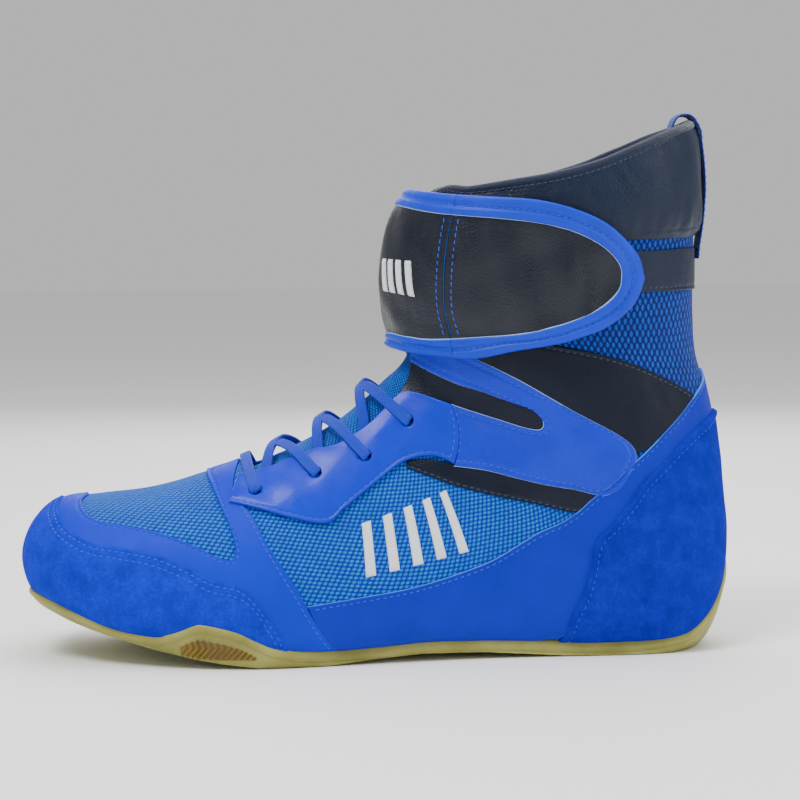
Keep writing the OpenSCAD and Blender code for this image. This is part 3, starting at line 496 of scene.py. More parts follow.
def marks(length, pitch):
    """Parameters 0..1 with extra lines near both ends, for a rounded and stitched edge."""
    s = np.linspace(0, 1, max(2, int(math.ceil(length / pitch))) + 1)
    near = np.array([0.1, 0.25, 0.5, 0.9, 1.4, 1.8, 2.2, 2.7, 3.5]) / max(length, 8)
    near = near[near < 0.5]
    keep = [0.0]
    for v in np.unique(np.round(np.concatenate([s, near, 1 - near]), 6))[1:]:
        if v - keep[-1] > 0.08 / max(length, 8):
            keep.append(v)
    keep[-1] = 1.0
    return np.array(keep)


def sheet_faces(n, m):
    i = np.arange(n * m).reshape(n, m)
    return np.stack([i[:-1, :-1], i[:-1, 1:], i[1:, 1:], i[1:, :-1]], -1).reshape(-1, 4)


def shell_faces(n, m):
    """Faces of a closed sheet whose lower points follow its upper ones: top, below, walls A, e, B, s."""
    quads, size = sheet_faces(n, m), n * m
    i = np.arange(size).reshape(n, m)
    walls = [np.stack([line[1:], line[1:] + size, line[:-1] + size, line[:-1]], -1)
             for line in (i[:, 0], i[-1], i[::-1, -1], i[0, ::-1])]
    return [quads, quads[:, ::-1] + size] + walls


def stitches(name, P, N, mat="thread_blue", body="boot", pitch=2.7):
    """Lockstitches along P on normals N: short rounded threads that dip into the cloth at both ends."""
    L = run_length(P)
    count = int(L[-1] / pitch)
    if count < 1:
        return
    profile = [[-1, 0.35], [-0.7, 0.88], [0, 1], [0.7, 0.88], [1, 0.35]]
    ring = circle(6)
    V, F = [], []

    def at(c, A):
        return np.array([np.interp(c, L, A[:, k]) for k in range(3)])

    for i in range(count):
        c = (i + 0.5) * L[-1] / count + rng.uniform(-0.08, 0.08)
        p, n = at(c, P), unit(at(c, N))
        t = at(min(L[-1], c + 0.6), P) - at(max(0, c - 0.6), P)
        t = unit(t - n * (t @ n))
        b = np.cross(n, t)
        t = unit(t + b * 0.10)
        rings = np.arange(len(profile) * 6).reshape(-1, 6) + len(V)
        for x, w in profile:
            centre = p + t * (x * 0.975) + n * (0.05 - 0.30 * x * x)
            V.extend(centre + (b * cr + n * sr) * 0.27 * w for cr, sr in ring)
        onward = np.roll(rings, -1, 1)
        F += np.stack([rings[:-1], onward[:-1], onward[1:], rings[1:]], -1).reshape(-1, 4).tolist()
        F += [rings[0, ::-1].tolist(), rings[-1].tolist()]
    add_mesh(name, V, F, [mat], body)


def edge_stitches(name, e, dist, top, normal, inset, rows, thread, body, trim_ends):
    """Rows of stitches that follow edge e of a panel."""
    away, ends = dist[e], (dist["s"], dist["e"]) if e in "AB" else (dist["A"], dist["B"])
    if e in "se":
        away, ends = away.T, [d.T for d in ends]
        top, normal = top.swapaxes(0, 1), normal.swapaxes(0, 1)
    if e in "Be":
        away, top, normal = away[:, ::-1], top[:, ::-1], normal[:, ::-1]
    for row, more in enumerate(rows):
        P, Q = [], []
        for i in range(len(away)):
            too_narrow = e in "AB" and away[i].max() < inset + more + 0.8
            at_end = (trim_ends or e in "se") and min(d[i].mean() for d in ends) < inset
            if not too_narrow and not at_end:
                P.append([np.interp(inset + more, away[i], top[i, :, c]) for c in range(3)])
                Q.append([np.interp(inset + more, away[i], normal[i, :, c]) for c in range(3)])
        if len(P) > 3:
            stitches(f"{name}_stitch_{e}{row}", np.array(P), np.array(Q), thread, body)


def folds(size, depth, seed):
    """Shallow creases, calm near the sewn edges."""
    def add(u, a, s, t, near):
        p = skin(u, a)
        calm = np.clip(near / 6, 0, 1)
        return depth * calm * waves(p * [1, 1, 0.6], size, seed)
    return add


def height(rows, s, t):
    """Height in mm over a panel: one number, a list along it, or rows of (height at A, height at B)."""
    rows = np.atleast_1d(np.asarray(rows, float))
    if rows.ndim == 1:
        rows = np.stack([rows, rows], -1)
    ends = along(rows, s)
    return ends[..., 0] + (ends[..., 1] - ends[..., 0]) * t


def panel(name, A, B, inside, outside, mat, pitch=2.2, body="boot", replaces=(), slot=None,
          radius=0.45, stitch="", inset=2.0, thread="thread_blue", cut="", cut_mat="cut",
          extra=None, double=0.0, trim_ends=True, soft="ABse"):
    """Panel between guides A and B. stitch, cut and soft name edges: A, B, s for the start, e
    for the end. The soft ones are rounded over. extra(u, a, s, t, near) adds height in mm."""
    A, B = guide(A), guide(B)
    k = np.linspace(0, 1, 80)
    pa, pb = A(k), B(k)
    mid = (pa + pb) / 2
    width = np.linalg.norm(skin(pa[:, 0], pa[:, 1]) - skin(pb[:, 0], pb[:, 1]), axis=1)
    S = marks(np.linalg.norm(np.diff(skin(mid[:, 0], mid[:, 1]), axis=0), axis=1).sum(), pitch)
    T = marks(max(3.0, np.percentile(width, 75)), pitch)
    s, t = grid(S, T)
    q = A(s) + (B(s) - A(s)) * t[..., None]
    u, a = q[..., 0], q[..., 1]
    ct, cs = run_length(skin(u, a), 1), run_length(skin(u, a), 0)
    dist = {"A": ct, "B": ct[:, -1:] - ct, "s": cs, "e": cs[-1:] - cs}
    near = np.min([dist[e] for e in soft], axis=0)
    d_in, d_out = height(inside, s, t), height(outside, s, t)
    f = np.sqrt(np.clip(1 - (1 - np.clip(near / radius, 0, 1)) ** 2, 0, 1))
    lift = d_in + (d_out - d_in) * (0.35 + 0.65 * f)
    rows = (0.0, double) if double else (0.0,)
    for e in stitch:
        for more in rows:
            lift = lift - 0.24 * np.exp(-((dist[e] - inset - more) / 0.5) ** 2)
        lift = lift + 0.08 * np.exp(-((dist[e] - inset * 0.45) / 0.6) ** 2)
    if extra:
        lift = lift + extra(u, a, s, t, near)
    top, low, normal = on_skin(u, a, lift), on_skin(u, a, d_in), outward(u, a)
    n, m = len(S), len(T)
    faces = shell_faces(n, m)
    turned = (np.cross(top[1:, :-1] - top[:-1, :-1], top[:-1, 1:] - top[:-1, :-1])
              * normal[:-1, :-1]).sum() > 0
    if turned:
        faces = [f[:, ::-1] for f in faces]
    is_edge = np.zeros((n, m), bool)
    for e in cut:
        is_edge |= dist[e] < 0.31
    cell = is_edge[:-1, :-1] & is_edge[1:, 1:] & is_edge[:-1, 1:] & is_edge[1:, :-1]
    face_mat = [cell.reshape(-1).astype(int), np.zeros(len(faces[1]), int)]
    face_mat += [np.full(len(f), int(e in cut)) for f, e in zip(faces[2:], "AeBs")]
    uv = cloth_place(u, a).reshape(-1, 2)
    o = add_mesh(name, np.concatenate([top.reshape(-1, 3), low.reshape(-1, 3)]), np.concatenate(faces),
                 [mat, cut_mat] if cut else [mat], body, np.concatenate(face_mat),
                 np.concatenate([uv, uv]), replaces, slot)
    for e in stitch:
        edge_stitches(name, e, dist, top, normal, inset, rows, thread, body, trim_ends)
    return o


def seam_line(name, points, lift, body="boot", count=120):
    """Stitches along a free guide on the boot."""
    q = along(points, np.linspace(0, 1, count))
    stitches(name, on_skin(q[:, 0], q[:, 1], lift), outward(q[:, 0], q[:, 1]), body=body)


def tube(name, P, X, Y, section, mat, body="boot", **more):
    """Closed band: section (k, 2) carried along centres P with half axes X and Y."""
    n, k = len(P), len(section)
    c = np.asarray(section, float)
    V = (P[:, None] + X[:, None] * c[None, :, 0:1] + Y[:, None] * c[None, :, 1:2]).reshape(-1, 3)
    i = np.arange(n * k).reshape(n, k)
    j = np.roll(i, -1, axis=1)
    F = np.stack([i[:-1], i[1:], j[1:], j[:-1]], -1).reshape(-1, 4).tolist()
    F += [i[0].tolist(), i[-1, ::-1].tolist()]
    if (np.cross(X[n // 2], Y[n // 2]) @ (P[n // 2 + 1] - P[n // 2 - 1])) > 0:
        F = [f[::-1] for f in F]
    girth = run_length(c * [np.linalg.norm(X[0]), np.linalg.norm(Y[0])])
    uv = np.stack(np.broadcast_arrays(run_length(P)[:, None], girth[None, :]), -1).reshape(-1, 2)
    add_mesh(name, V, F, [mat], body, uv=uv, **more)


def smooth_run(points, count):
    """Points spaced evenly along a smooth curve through the given rows."""
    fine = along(points, np.linspace(0, 1, 40 * len(points)))
    L = run_length(fine)
    s = np.linspace(0, L[-1], count)
    return np.stack([np.interp(s, L, fine[:, k]) for k in range(fine.shape[1])], -1)


def tangents(P):
    return unit(np.gradient(P, axis=0))


def circle(n):
    t = np.linspace(0, 2 * math.pi, n + 1)[:-1]
    return np.stack([np.cos(t), np.sin(t)], -1)


def superellipse(n, power):
    c = circle(n)
    return np.sign(c) * np.abs(c) ** (2 / power)


# ------------------------------------------------------------------ padding by cloth simulation
PUFF_SCALE, PUFF_FRAMES = 0.01, 20


def puffed(top, normal, pressure, cap, shrink):
    """How far a cloth skin rises when foam pushes it out from a grid held at its border, in mm."""
    n, m = top.shape[:2]
    me = bpy.data.meshes.new("puff")
    me.from_pydata((top.reshape(-1, 3) * PUFF_SCALE).tolist(), [], sheet_faces(n, m).tolist())
    o = link("puff", me)
    i = np.arange(n * m).reshape(n, m)
    border = np.unique(np.concatenate([i[0], i[-1], i[:, 0], i[:, -1]]))
    o.vertex_groups.new(name="held").add(border.tolist(), 1.0, "REPLACE")
    cloth = o.modifiers.new("Cloth", "CLOTH")
    c = cloth.settings
    c.vertex_group_mass = "held"
    c.quality = 6
    c.mass = 0.2
    c.tension_stiffness = c.compression_stiffness = c.shear_stiffness = 8.0
    c.bending_stiffness = 0.2
    c.air_damping = 4
    c.use_pressure = True
    c.uniform_pressure_force = pressure
    c.shrink_min = shrink
    c.effector_weights.gravity = 0
    cloth.collision_settings.use_self_collision = False
    cloth.point_cache.frame_start, cloth.point_cache.frame_end = 1, PUFF_FRAMES
    for f in range(1, PUFF_FRAMES + 1):
        bpy.context.scene.frame_set(f)
    settled = o.evaluated_get(bpy.context.evaluated_depsgraph_get()).data
    co = np.zeros(n * m * 3, np.float32)
    settled.vertices.foreach_get("co", co)
    rise = ((co.reshape(n, m, 3) / PUFF_SCALE - top) * normal).sum(-1)
    bpy.data.objects.remove(o)
    bpy.data.meshes.remove(me)
    bpy.context.scene.frame_set(1)
    if rise.sum() < 0:
        rise = -rise
    peak = max(np.percentile(rise, 97), 1e-6)
    return np.clip(np.where(np.isfinite(rise), rise, 0) / peak, -0.2, 1.25) * cap


def pad(name, A, B, inside, outside, mat, cap, pressure, shrink, size, swell=None, **more):
    """Padded panel: its top face is a cloth skin blown out from the flat panel. swell(u, a, t) scales it."""
    s, t = grid(np.linspace(0, 1, size[0]), np.linspace(0, 1, size[1]))
    q = guide(A)(s) + (guide(B)(s) - guide(A)(s)) * t[..., None]
    rise = puffed(on_skin(q[..., 0], q[..., 1], outside), outward(q[..., 0], q[..., 1]), pressure, cap,
                  shrink)

    def extra(u, a, s, t, near):
        up = bilinear(rise, s * (size[0] - 1), t * (size[1] - 1), True)
        return up * swell(u, a, t) if swell else up

    return panel(name, A, B, inside, outside, mat, extra=extra, **more)

# ------------------------------------------------------------------ sole
# GROUND: x and height of the underside. RIM: u and a of the rim. FOOT: x and half widths of the tread,
# outside and inside. SHIFT: x and how far the tread lies to the side.
GROUND = np.array([[-137, 20], [-132, 18], [-125, 15.5], [-116, 13], [-104, 10], [-90, 6.5], [-76, 3.8],
    [-63, 1.6], [-50, 0], [-22, 0], [-5, 1.5], [15, 3], [40, 2.5], [60, 1], [74, 0], [131, 0]])
RIM = [[0.7, 0], [0.93, -0.51], [1.35, -1], [2.1, -1.26], [3, -1.33], [3.95, -1.4], [5, -1.34],
    [5.4, -1.24], [6, -1.09], [6.3, -1.06], [6.9, -1.11], [7.3, -1.22], [7.7, -1.34], [8.5, -1.46],
    [9.3, -1.52], [10, -1.51], [11, -1.51], [12, -1.54], [13, -1.58], [13.7, -1.56], [14.3, -1.58],
    [15, -1.63], [15.7, -1.77], [16.4, -2]]
FOOT = [[-136.5, 0, 0], [-135, 9, 9], [-131.5, 17.5, 17.5], [-124.5, 26, 26], [-115, 33, 32], [-104, 38,
    37], [-90, 42.5, 40.5], [-84, 44, 42], [-76, 46, 43.5], [-70, 47, 44], [-58, 47.5, 44], [-50, 47, 43],
    [-42, 46, 41.5], [-25, 43.5, 38], [-5, 40, 34.5], [15, 37, 32], [40, 34, 31], [70, 32, 31.5], [95,
    31.5, 31.5], [109, 30, 30], [119, 25.5, 25.5], [125.5, 18, 18], [129.5, 9.5, 9.5], [131, 0, 0]]
SHIFT = np.array([[-145, 7], [-116, 6], [-104, 5], [-89, 3], [-72, 1], [-54, 0], [-35, -1], [0, -1],
    [30, -0.5], [60, 0], [145, 0]])
SOLE_WALL, SOLE_FLOOR = 2.2, 1.7


def lookup(x, table):
    return np.interp(x, table[:, 0], table[:, 1])


def moved(x, y, z):
    return np.stack([x + X_MID, y + Y_MID, z], -1)


def wall_relief(p, high, t, around, side):
    """Height of the relief on the sole's outer wall, and where it belongs to the wing's sunk panel."""
    x, z = p[:, 0] - X_MID, p[:, 2]
    bead = 0.30 * np.exp(-((high - 1.1) / 0.9) ** 2) - 0.34 * np.exp(-((high - 3.0) / 0.45) ** 2)
    wing = np.clip((x + 81) / 1.5, 0, 1) * np.clip((-50 - x) / 1.5, 0, 1) * (side < 0)
    wing = wing * np.clip((z - 3.2) / 0.8, 0, 1) * np.clip((high - 5.0) / 1.6, 0, 1)
    slant = x + np.where(z < 8.5, -0.9, 0.42) * (z - 8.5)
    rib = np.cos(2 * math.pi * slant / 2.45)
    nicks = 0.10 * np.exp(-((t - 0.05) / 0.05) ** 2) * np.cos(2 * math.pi * around / 4)
    return bead + wing * (-0.28 + 0.52 * np.clip(rib * 1.6, -1, 1)) + nicks, wing > 0.4


def tread_relief(p, t):
    """Depth of the tread: rings under the ball, chevrons elsewhere, shallow under the arch."""
    x, y = p[:, 0] - X_MID, p[:, 1] - Y_MID
    zig = np.abs((y / 8 + 40) % 2 - 1) * 8
    chevron = np.cos(2 * math.pi * (x + zig) / 6.5)
    rings = np.cos(2 * math.pi * np.hypot(x + 58, y - 2) / 6.0)
    groove = np.where(np.hypot((x + 58) / 34, (y - 2) / 30) < 0.62, rings, chevron)
    depth = 0.9 * np.clip(-groove * 2.0 - 0.2, 0, 1) * np.clip((0.90 - t) / 0.04, 0, 1)
    return depth * (1 - 0.7 * np.clip(1 - np.abs(x - 22) / 30, 0, 1))


def outsole():
    """Closed gum sole: rings of points from the tread's spine out, up the wall and back inside."""
    n = 420
    k = np.arange(2 * n)
    s = np.where(k <= n, k, 2 * n - k) / n
    side = np.where(k <= n, -1, 1)
    f, r = along(FOOT, s), along(RIM, s)
    half = np.where(side < 0, f[:, 1], f[:, 2])
    low = moved(f[:, 0], side * half + lookup(f[:, 0], SHIFT), lookup(f[:, 0], GROUND))
    girth = -side * r[:, 1]
    rim = on_skin(r[:, 0], girth, SOLE_WALL + 0.1)
    inner_rim = on_skin(r[:, 0], girth, 0.15)
    mid = low + (rim - low) * [0.75, 0.75, 0.3]
    c1, c2 = low + (mid - low) * 0.67, rim + (mid - rim) * 0.67
    sx = 0.88 * f[:, 0] - 1
    spine = moved(sx, lookup(sx, SHIFT), lookup(sx, GROUND))
    tread = np.linspace(0, 0.985, 44)
    wall = np.concatenate([[0.03, 0.07], np.linspace(0.12, 0.97, 34)])
    levels = [spine + (low - spine) * t for t in tread]
    levels += [bezier(low, c1, c2, rim, t) for t in wall]
    levels += [rim + (inner_rim - rim) * t + unit(rim - c2) * 0.55 * math.sin(math.pi * t)
               for t in (0.10, 0.3, 0.7, 0.92)]
    inward = unit((spine - rim) * [1, 1, 0]) * 1.9
    levels += [inner_rim, bezier(low, c1, c2, rim, 0.5) + inward + [0, 0, 0.3]]
    levels += [low + (spine - low) * t + [0, 0, SOLE_FLOOR] for t in (0.08, 0.5, 1)]
    V = np.array(levels)
    N = unit(np.cross(np.roll(V, -2, 1) - np.roll(V, 2, 1), np.gradient(V, axis=0)))
    N = N * np.where((N * (V - spine)).sum(-1, keepdims=True) < 0, -1, 1)
    deep = np.zeros(V.shape[:2], bool)
    for i, t in enumerate(tread):
        V[i, :, 2] += tread_relief(V[i], t)
    for i, t in enumerate(wall, len(tread)):
        lift, deep[i] = wall_relief(V[i], np.linalg.norm(rim - V[i], axis=1), t, k, side)
        V[i] += N[i] * lift[:, None]
    i = np.arange(V.shape[0] * V.shape[1]).reshape(V.shape[:2])
    j = np.roll(i, -1, 1)
    F = np.stack([i[:-1], i[1:], j[1:], j[:-1]], -1).reshape(-1, 4)
    o = add_mesh("outsole_gum", V.reshape(-1, 3), F, ["gum", "gum_deep"], None,
                 (deep[:-1] & deep[1:]).reshape(-1).astype(int))
    bm = bmesh.new()
    bm.from_mesh(o.data)
    bmesh.ops.remove_doubles(bm, verts=bm.verts, dist=0.00001)
    # the rings meet along the spine, where the outer and the inner half share their points
    loops = [e for e in bm.edges if e.is_boundary]
    if loops:
        bmesh.ops.holes_fill(bm, edges=loops, sides=0)
    bmesh.ops.recalc_face_normals(bm, faces=bm.faces)
    bm.to_mesh(o.data)
    bm.free()
    o.data.polygons.foreach_set("use_smooth", np.ones(len(o.data.polygons), bool))
    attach(o, "boot")
    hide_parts("outsole")


outsole()

# ------------------------------------------------------------------ guides, outer side
# Guides are rows of (u, a) on the outer side; inner_side mirrors them.
HOLES = [[8.05, 0.4], [9.4, 0.43], [10.5, 0.46], [11.95, 0.43]]
TOP_EDGE = [[24.6, -0.22], [24.8, -0.36], [24.6, -0.54], [24.55, -0.75], [24.53, -0.95], [24.6, -1.14],
    [24.75, -1.34], [24.88, -1.55], [24.95, -1.78], [25, -2]]
SOLE_OUT = [[1.4, -1.5], [2, -1.62], [4, -1.65], [6, -1.65], [8, -1.65], [10, -1.67], [12, -1.7],
    [13.2, -1.78], [14, -1.85]]
TONGUE = [[7.7, -0.3], [8.6, -0.4], [10, -0.45], [11.5, -0.44], [13, -0.4], [15, -0.37], [17, -0.35],
    [19, -0.34], [21, -0.33], [23, -0.33], [24.65, -0.3]]
BASE_IN, BASE_OUT = -0.8, 0
SIDES = (("lateral", list, -1), ("medial", inner_side, 1))


def punch(o, side):
    """Cuts the four lace holes right through a panel."""
    sides, radius, reach = 28, 2.5, 5
    bm = bmesh.new()
    for u, a in HOLES:
        p, n = skin(u, a * side), outward(u, a * side)
        x = unit(np.cross(n, [0, 0, 1]))
        y = np.cross(n, x)
        lo, hi = ([bm.verts.new(Vector((p + n * d + x * c[0] + y * c[1]) * MM))
                   for c in circle(sides) * radius] for d in (-reach, reach))
        bm.faces.new(lo[::-1])
        bm.faces.new(hi)
        for k in range(sides):
            h = (k + 1) % sides
            bm.faces.new([lo[k], lo[h], hi[h], hi[k]])
    bmesh.ops.recalc_face_normals(bm, faces=bm.faces)
    me = bpy.data.meshes.new("pegs")
    bm.to_mesh(me)
    bm.free()
    pegs = link("pegs", me)
    mod = o.modifiers.new("Punch", "BOOLEAN")
    mod.operation, mod.object, mod.solver = "DIFFERENCE", pegs, "EXACT"
    deps = bpy.context.evaluated_depsgraph_get()
    deps.update()
    new = bpy.data.meshes.new_from_object(o.evaluated_get(deps))
    o.modifiers.clear()
    o.data = new
    bpy.data.objects.remove(pegs)
    bpy.data.meshes.remove(me)


# ------------------------------------------------------------------ lining and inside
LINING_LOW = [[8.04, -1.58], [9.5, -1.58], [11, -1.6], [12.5, -1.62], [13.6, -1.68], [14.3, -1.85],
    [15.2, -2], [17, -2], [19, -2], [21, -2], [23, -2], [24.85, -2]]
LINING_FRONT = [[8.04, -0.28], [9.4, -0.3], [10.8, -0.34], [12.2, -0.32], [13.6, -0.26], [15, -0.22],
    [16.6, -0.19], [18.2, -0.18], [19.8, -0.18], [21.4, -0.19], [23, -0.2], [24.45, -0.22]]
LINING_IN = np.array([[-1.6, -2.9], [-1.6, -3.1], [-1.6, -3.4], [-1.8, -3.7], [-2.6, -4.8], [-2.8, -4.6]])
panel("lining_vamp_cloth",
    [[1.1, -1.4], [2.5, -1.55], [5, -1.55], [8.0, -1.55]],
    [[1.1, 1.4], [2.5, 1.55], [5, 1.55], [8.0, 1.55]],
    -2.9, -2.4, "lining", 3.2, replaces="lining_vamp", slot="lining")
for name, flip, sign in SIDES:
    o = panel("lining_%s_cloth" % name,
        flip(LINING_FRONT), flip(LINING_LOW), LINING_IN, LINING_IN + 0.5, "lining", 3.0,
        replaces="lining_" + name, slot="lining")
    punch(o, sign)
o = panel("footbed_cloth",
    SOLE_OUT,
    [[p[0], -4 - p[1]] for p in SOLE_OUT],
    -2.8, [-5, -5.2, -5.5, -6.5, -7.5, -6.5], "footbed", 3.0, replaces="footbed", slot="footbed",
    radius=1.2)

# ------------------------------------------------------------------ knitted base
panel("vamp_knit",
    [[1.1, -1.35], [2.5, -1.5], [5, -1.52], [8.0, -1.52]],
    [[1.1, 1.35], [2.5, 1.5], [5, 1.52], [8.0, 1.52]],
    BASE_IN, BASE_OUT, "mesh", 2.4, replaces="vamp_mesh", slot="mesh_blue")
for name, flip, sign in SIDES:
    o = panel("quarter_knit_" + name,
        flip([[7.98, -0.29], [9, -0.3], [10, -0.34], [11, -0.35], [12.2, -0.36], [13.4, -0.55],
            [14.8, -0.75], [16.2, -0.95], [17.6, -1.2], [18.4, -1.6], [18.6, -2]]),
        flip([[7.98, -1.52], [9, -1.52], [10, -1.54], [11, -1.56], [12, -1.58], [12.8, -1.6],
            [13.4, -1.65], [13.8, -1.7], [14.2, -1.8], [14.5, -1.9], [14.6, -2]]),
        BASE_IN, BASE_OUT, "mesh", 2.4, replaces="quarter_mesh_" + name, slot="mesh_blue")
    punch(o, sign)
panel("collar_knit",
    across_back([[24.45, -0.24], [24.4, -0.7], [24.5, -1.2], [24.6, -1.6], [24.7, -2]]),
    across_back([[17, -0.22], [17.2, -0.7], [17.5, -1.2], [18.2, -1.6], [18.5, -2]]),
    BASE_IN, BASE_OUT, "mesh_collar", 2.4, replaces="collar_mesh", slot="mesh_dark_blue")

# ------------------------------------------------------------------ toe
panel("toe_overlay_film",
    across_front([[4.65, 0], [4.52, -0.17], [4.56, -0.34], [4.82, -0.43], [5.4, -0.48], [6, -0.54],
        [6.6, -0.64], [7, -0.71], [7.25, -0.72], [7.36, -0.66], [7.34, -0.55], [7.25, -0.42],
        [7.18, -0.3], [7.1, -0.12], [7.1, -0.01]]),
    across_front([[3.9, 0], [3.85, -0.25], [3.95, -0.5], [4.4, -0.66], [5.3, -0.7], [6, -0.76],
        [6.6, -0.86], [7.6, -1.5], [8.7, -1.5], [8.43, -0.97], [8.06, -0.72], [7.85, -0.52], [7.6, -0.36],
        [7.75, -0.14], [7.85, -0.01]]),
    0.05, 0.8, "film_toe", 1.6, replaces="toe_overlay", slot="film_blue", extra=folds(18, 0.18, 28),
    stitch="A", inset=1.7, trim_ends=False)
OVERLAY_SEAM = [[8.62, -1.42], [8.5, -1.2], [8.34, -0.98], [8.0, -0.73], [7.79, -0.54], [7.62, -0.42]]
seam_line("toe_overlay_edge_stitch", OVERLAY_SEAM, 0.85)
seam_line("toe_overlay_edge_stitch_in", inner_side(OVERLAY_SEAM), 0.85)
panel("toe_guard_suede",
    across_front([[4.05, 0], [3.95, -0.25], [4.02, -0.46], [4.44, -0.6], [5.1, -0.64], [5.72, -0.67],
        [6.2, -0.73], [6.7, -0.81], [7.24, -0.85], [7.55, -0.94], [7.8, -1.12], [7.9, -1.45]]),
    across_front([[0.85, 0], [1, -0.5], [1.35, -0.95], [2, -1.3], [3, -1.45], [4, -1.5], [5, -1.5],
        [5.8, -1.5], [6.5, -1.5], [7, -1.5], [7.4, -1.5], [7.8, -1.5]]),
    0.1, [[1.55, 1.2]], "suede_toe", 1.5, replaces="toe_guard", slot="suede", stitch="A", inset=2.0,
    double=2.6, trim_ends=False, radius=0.8)

# ------------------------------------------------------------------ quarters
# Upper and lower edge of the lower band, then of the ankle wing with its slot between the two
FOX = [[8.45, -0.97], [9.4, -0.97], [10.4, -0.97], [11.5, -0.95], [13.1, -0.91], [14.7, -0.94],
    [16, -1.02], [17.8, -1.23], [19, -1.43], [19.9, -1.68], [20.6, -2]]
FOX_LOW = [[8.75, -1.5], [9.5, -1.52], [10.4, -1.54], [11.4, -1.56], [12.6, -1.35], [14.2, -1.12],
    [15.6, -1.12], [17.4, -1.35], [18.5, -1.58], [19.2, -1.8], [19.4, -2]]
WING_TOP = [[17.3, -0.19], [18, -0.35], [18.35, -0.55], [18.4, -0.75], [18.2, -0.95], [18, -1.2],
    [16.9, -1.14], [15.9, -1.03], [15.2, -0.91], [14.2, -0.8], [13.2, -0.71], [12.3, -0.645]]
WING_LOW = [[14.5, -0.24], [15, -0.35], [15.7, -0.49], [16.4, -0.61], [16.95, -0.745], [17.15, -0.8],
    [16.95, -0.835], [16.55, -0.825], [16.2, -0.78], [15.6, -0.67], [15, -0.58], [14.2, -0.485]]


def quarter(name, flip, sign):
    panel("slot_insert_%s_pu" % name,
        flip([[15.2, -0.2], [15.9, -0.38], [16.8, -0.58], [17.4, -0.74], [17.6, -0.86]]),
        flip([[12.2, -0.3], [13.6, -0.52], [15.2, -0.72], [16, -0.84], [16.4, -0.9]]),
        -0.6, 0.25, "black", 1.8, replaces="slot_insert_" + name, slot="coated_black")
    panel("ankle_panel_%s_pu" % name,
        flip([[19.4, -0.18], [19.8, -0.45], [20.05, -0.75], [20.3, -1.05], [20.3, -1.25], [20.1, -1.45],
            [19.85, -1.66]]),
        flip([[17, -0.19], [17.8, -0.42], [18.2, -0.68], [18.1, -0.93], [17.8, -1.18], [18.7, -1.38],
            [19.5, -1.6]]),
        0.05, 0.75, "ankle", 1.8, replaces="ankle_panel_" + name, slot="coated_black",
        extra=folds(14, 0.25, 27), stitch="A", inset=1.6, thread="thread_dark")
    panel("accent_stripe_%s_pu" % name,
        flip([[11.3, -0.55], [11.9, -0.595], [12.5, -0.65], [13.3, -0.71], [14.3, -0.8], [15.3, -0.91],
            [16, -1.01]]),
        flip([[11.2, -0.575], [11.6, -0.64], [12.1, -0.71], [12.9, -0.785], [13.8, -0.855],
            [14.6, -0.935], [15.4, -1]]),
        0.05, 0.65, "black", 1.4, replaces="accent_stripe_" + name, slot="coated_black", stitch="B",
        inset=1.0, thread="thread_dark")
    panel("ankle_wing_%s_film" % name,
        flip(WING_TOP), flip(WING_LOW), 0.2, 1.15, "wing", 1.5, replaces="ankle_wing_" + name,
        slot="film_blue", cut="AB", extra=folds(15, 0.22, 24), stitch="AB", inset=2.6, trim_ends=False)
    panel("lower_band_%s_coated" % name,
        flip(FOX), flip(FOX_LOW), 0.05, [[1.1, 1.0]], "band", 1.6, replaces="lower_band_" + name,
        slot="coated_blue", cut="A", extra=folds(20, 0.32, 25), stitch="A", inset=1.8, cut_mat="cut_blue")
    o = panel("eyestay_%s_film" % name,
        flip([[7.8, -0.24], [8.3, -0.28], [8.8, -0.285], [9.5, -0.3], [10, -0.335], [10.7, -0.34],
            [11.4, -0.325], [12, -0.31], [12.6, -0.32], [13.4, -0.4], [14.25, -0.49]]),
        flip([[7.45, -0.42], [8, -0.5], [8.6, -0.59], [9.25, -0.66], [9.7, -0.625], [10.3, -0.585],
            [11, -0.555], [11.5, -0.56], [11.9, -0.58], [12.2, -0.61], [12.35, -0.64]]),
        0.95, 1.95, "film", 1.3, replaces="eyestay_" + name, slot="film_blue", cut="s", stitch="B",
        inset=1.7, radius=0.5, extra=folds(13, 0.26, 26))
    punch(o, sign)
    for i, d in enumerate((-0.16, 0.17)):
        seam_line("eyestay_%s_seam%d" % (name, i),
            flip([[14.12 + d, -0.495], [13.4 + d, -0.55], [12.5 + d, -0.62]]),
            1.95 if i == 0 else 1.15)


for name, flip, sign in SIDES:
    quarter(name, flip, sign)


def heel_ridge(u, a, s, t, near):
    """Rolled ridge along the heel guard's upper edge, fading out at both ends."""
    ends = np.clip(np.minimum(s, 1 - s) / 0.05 - 0.4, 0, 1)
    return 0.9 * np.exp(-((near - 1.5) / 1.1) ** 2) * (t < 0.5) * ends


panel("heel_guard_suede",
    across_back([[11.95, -1.545], [12.36, -1.26], [13.1, -1.1], [14.1, -1.01], [15.1, -1.03],
        [16.4, -1.14], [17.9, -1.33], [18.9, -1.53], [19.45, -1.76], [19.65, -2]]),
    across_back([[12.05, -1.565], [12.5, -1.59], [13, -1.63], [13.5, -1.66], [13.85, -1.69],
        [14.1, -1.74], [14.25, -1.82], [14.35, -1.88], [14.45, -1.94], [14.5, -2]]),
    0.1, [[1.2, 1.2]] + [[2.1, 1.4]] * 12 + [[1.2, 1.2]], "suede_heel", 1.6, replaces="heel_guard",
    slot="suede", stitch="A", inset=3.4, radius=1.3, trim_ends=False, extra=heel_ridge)


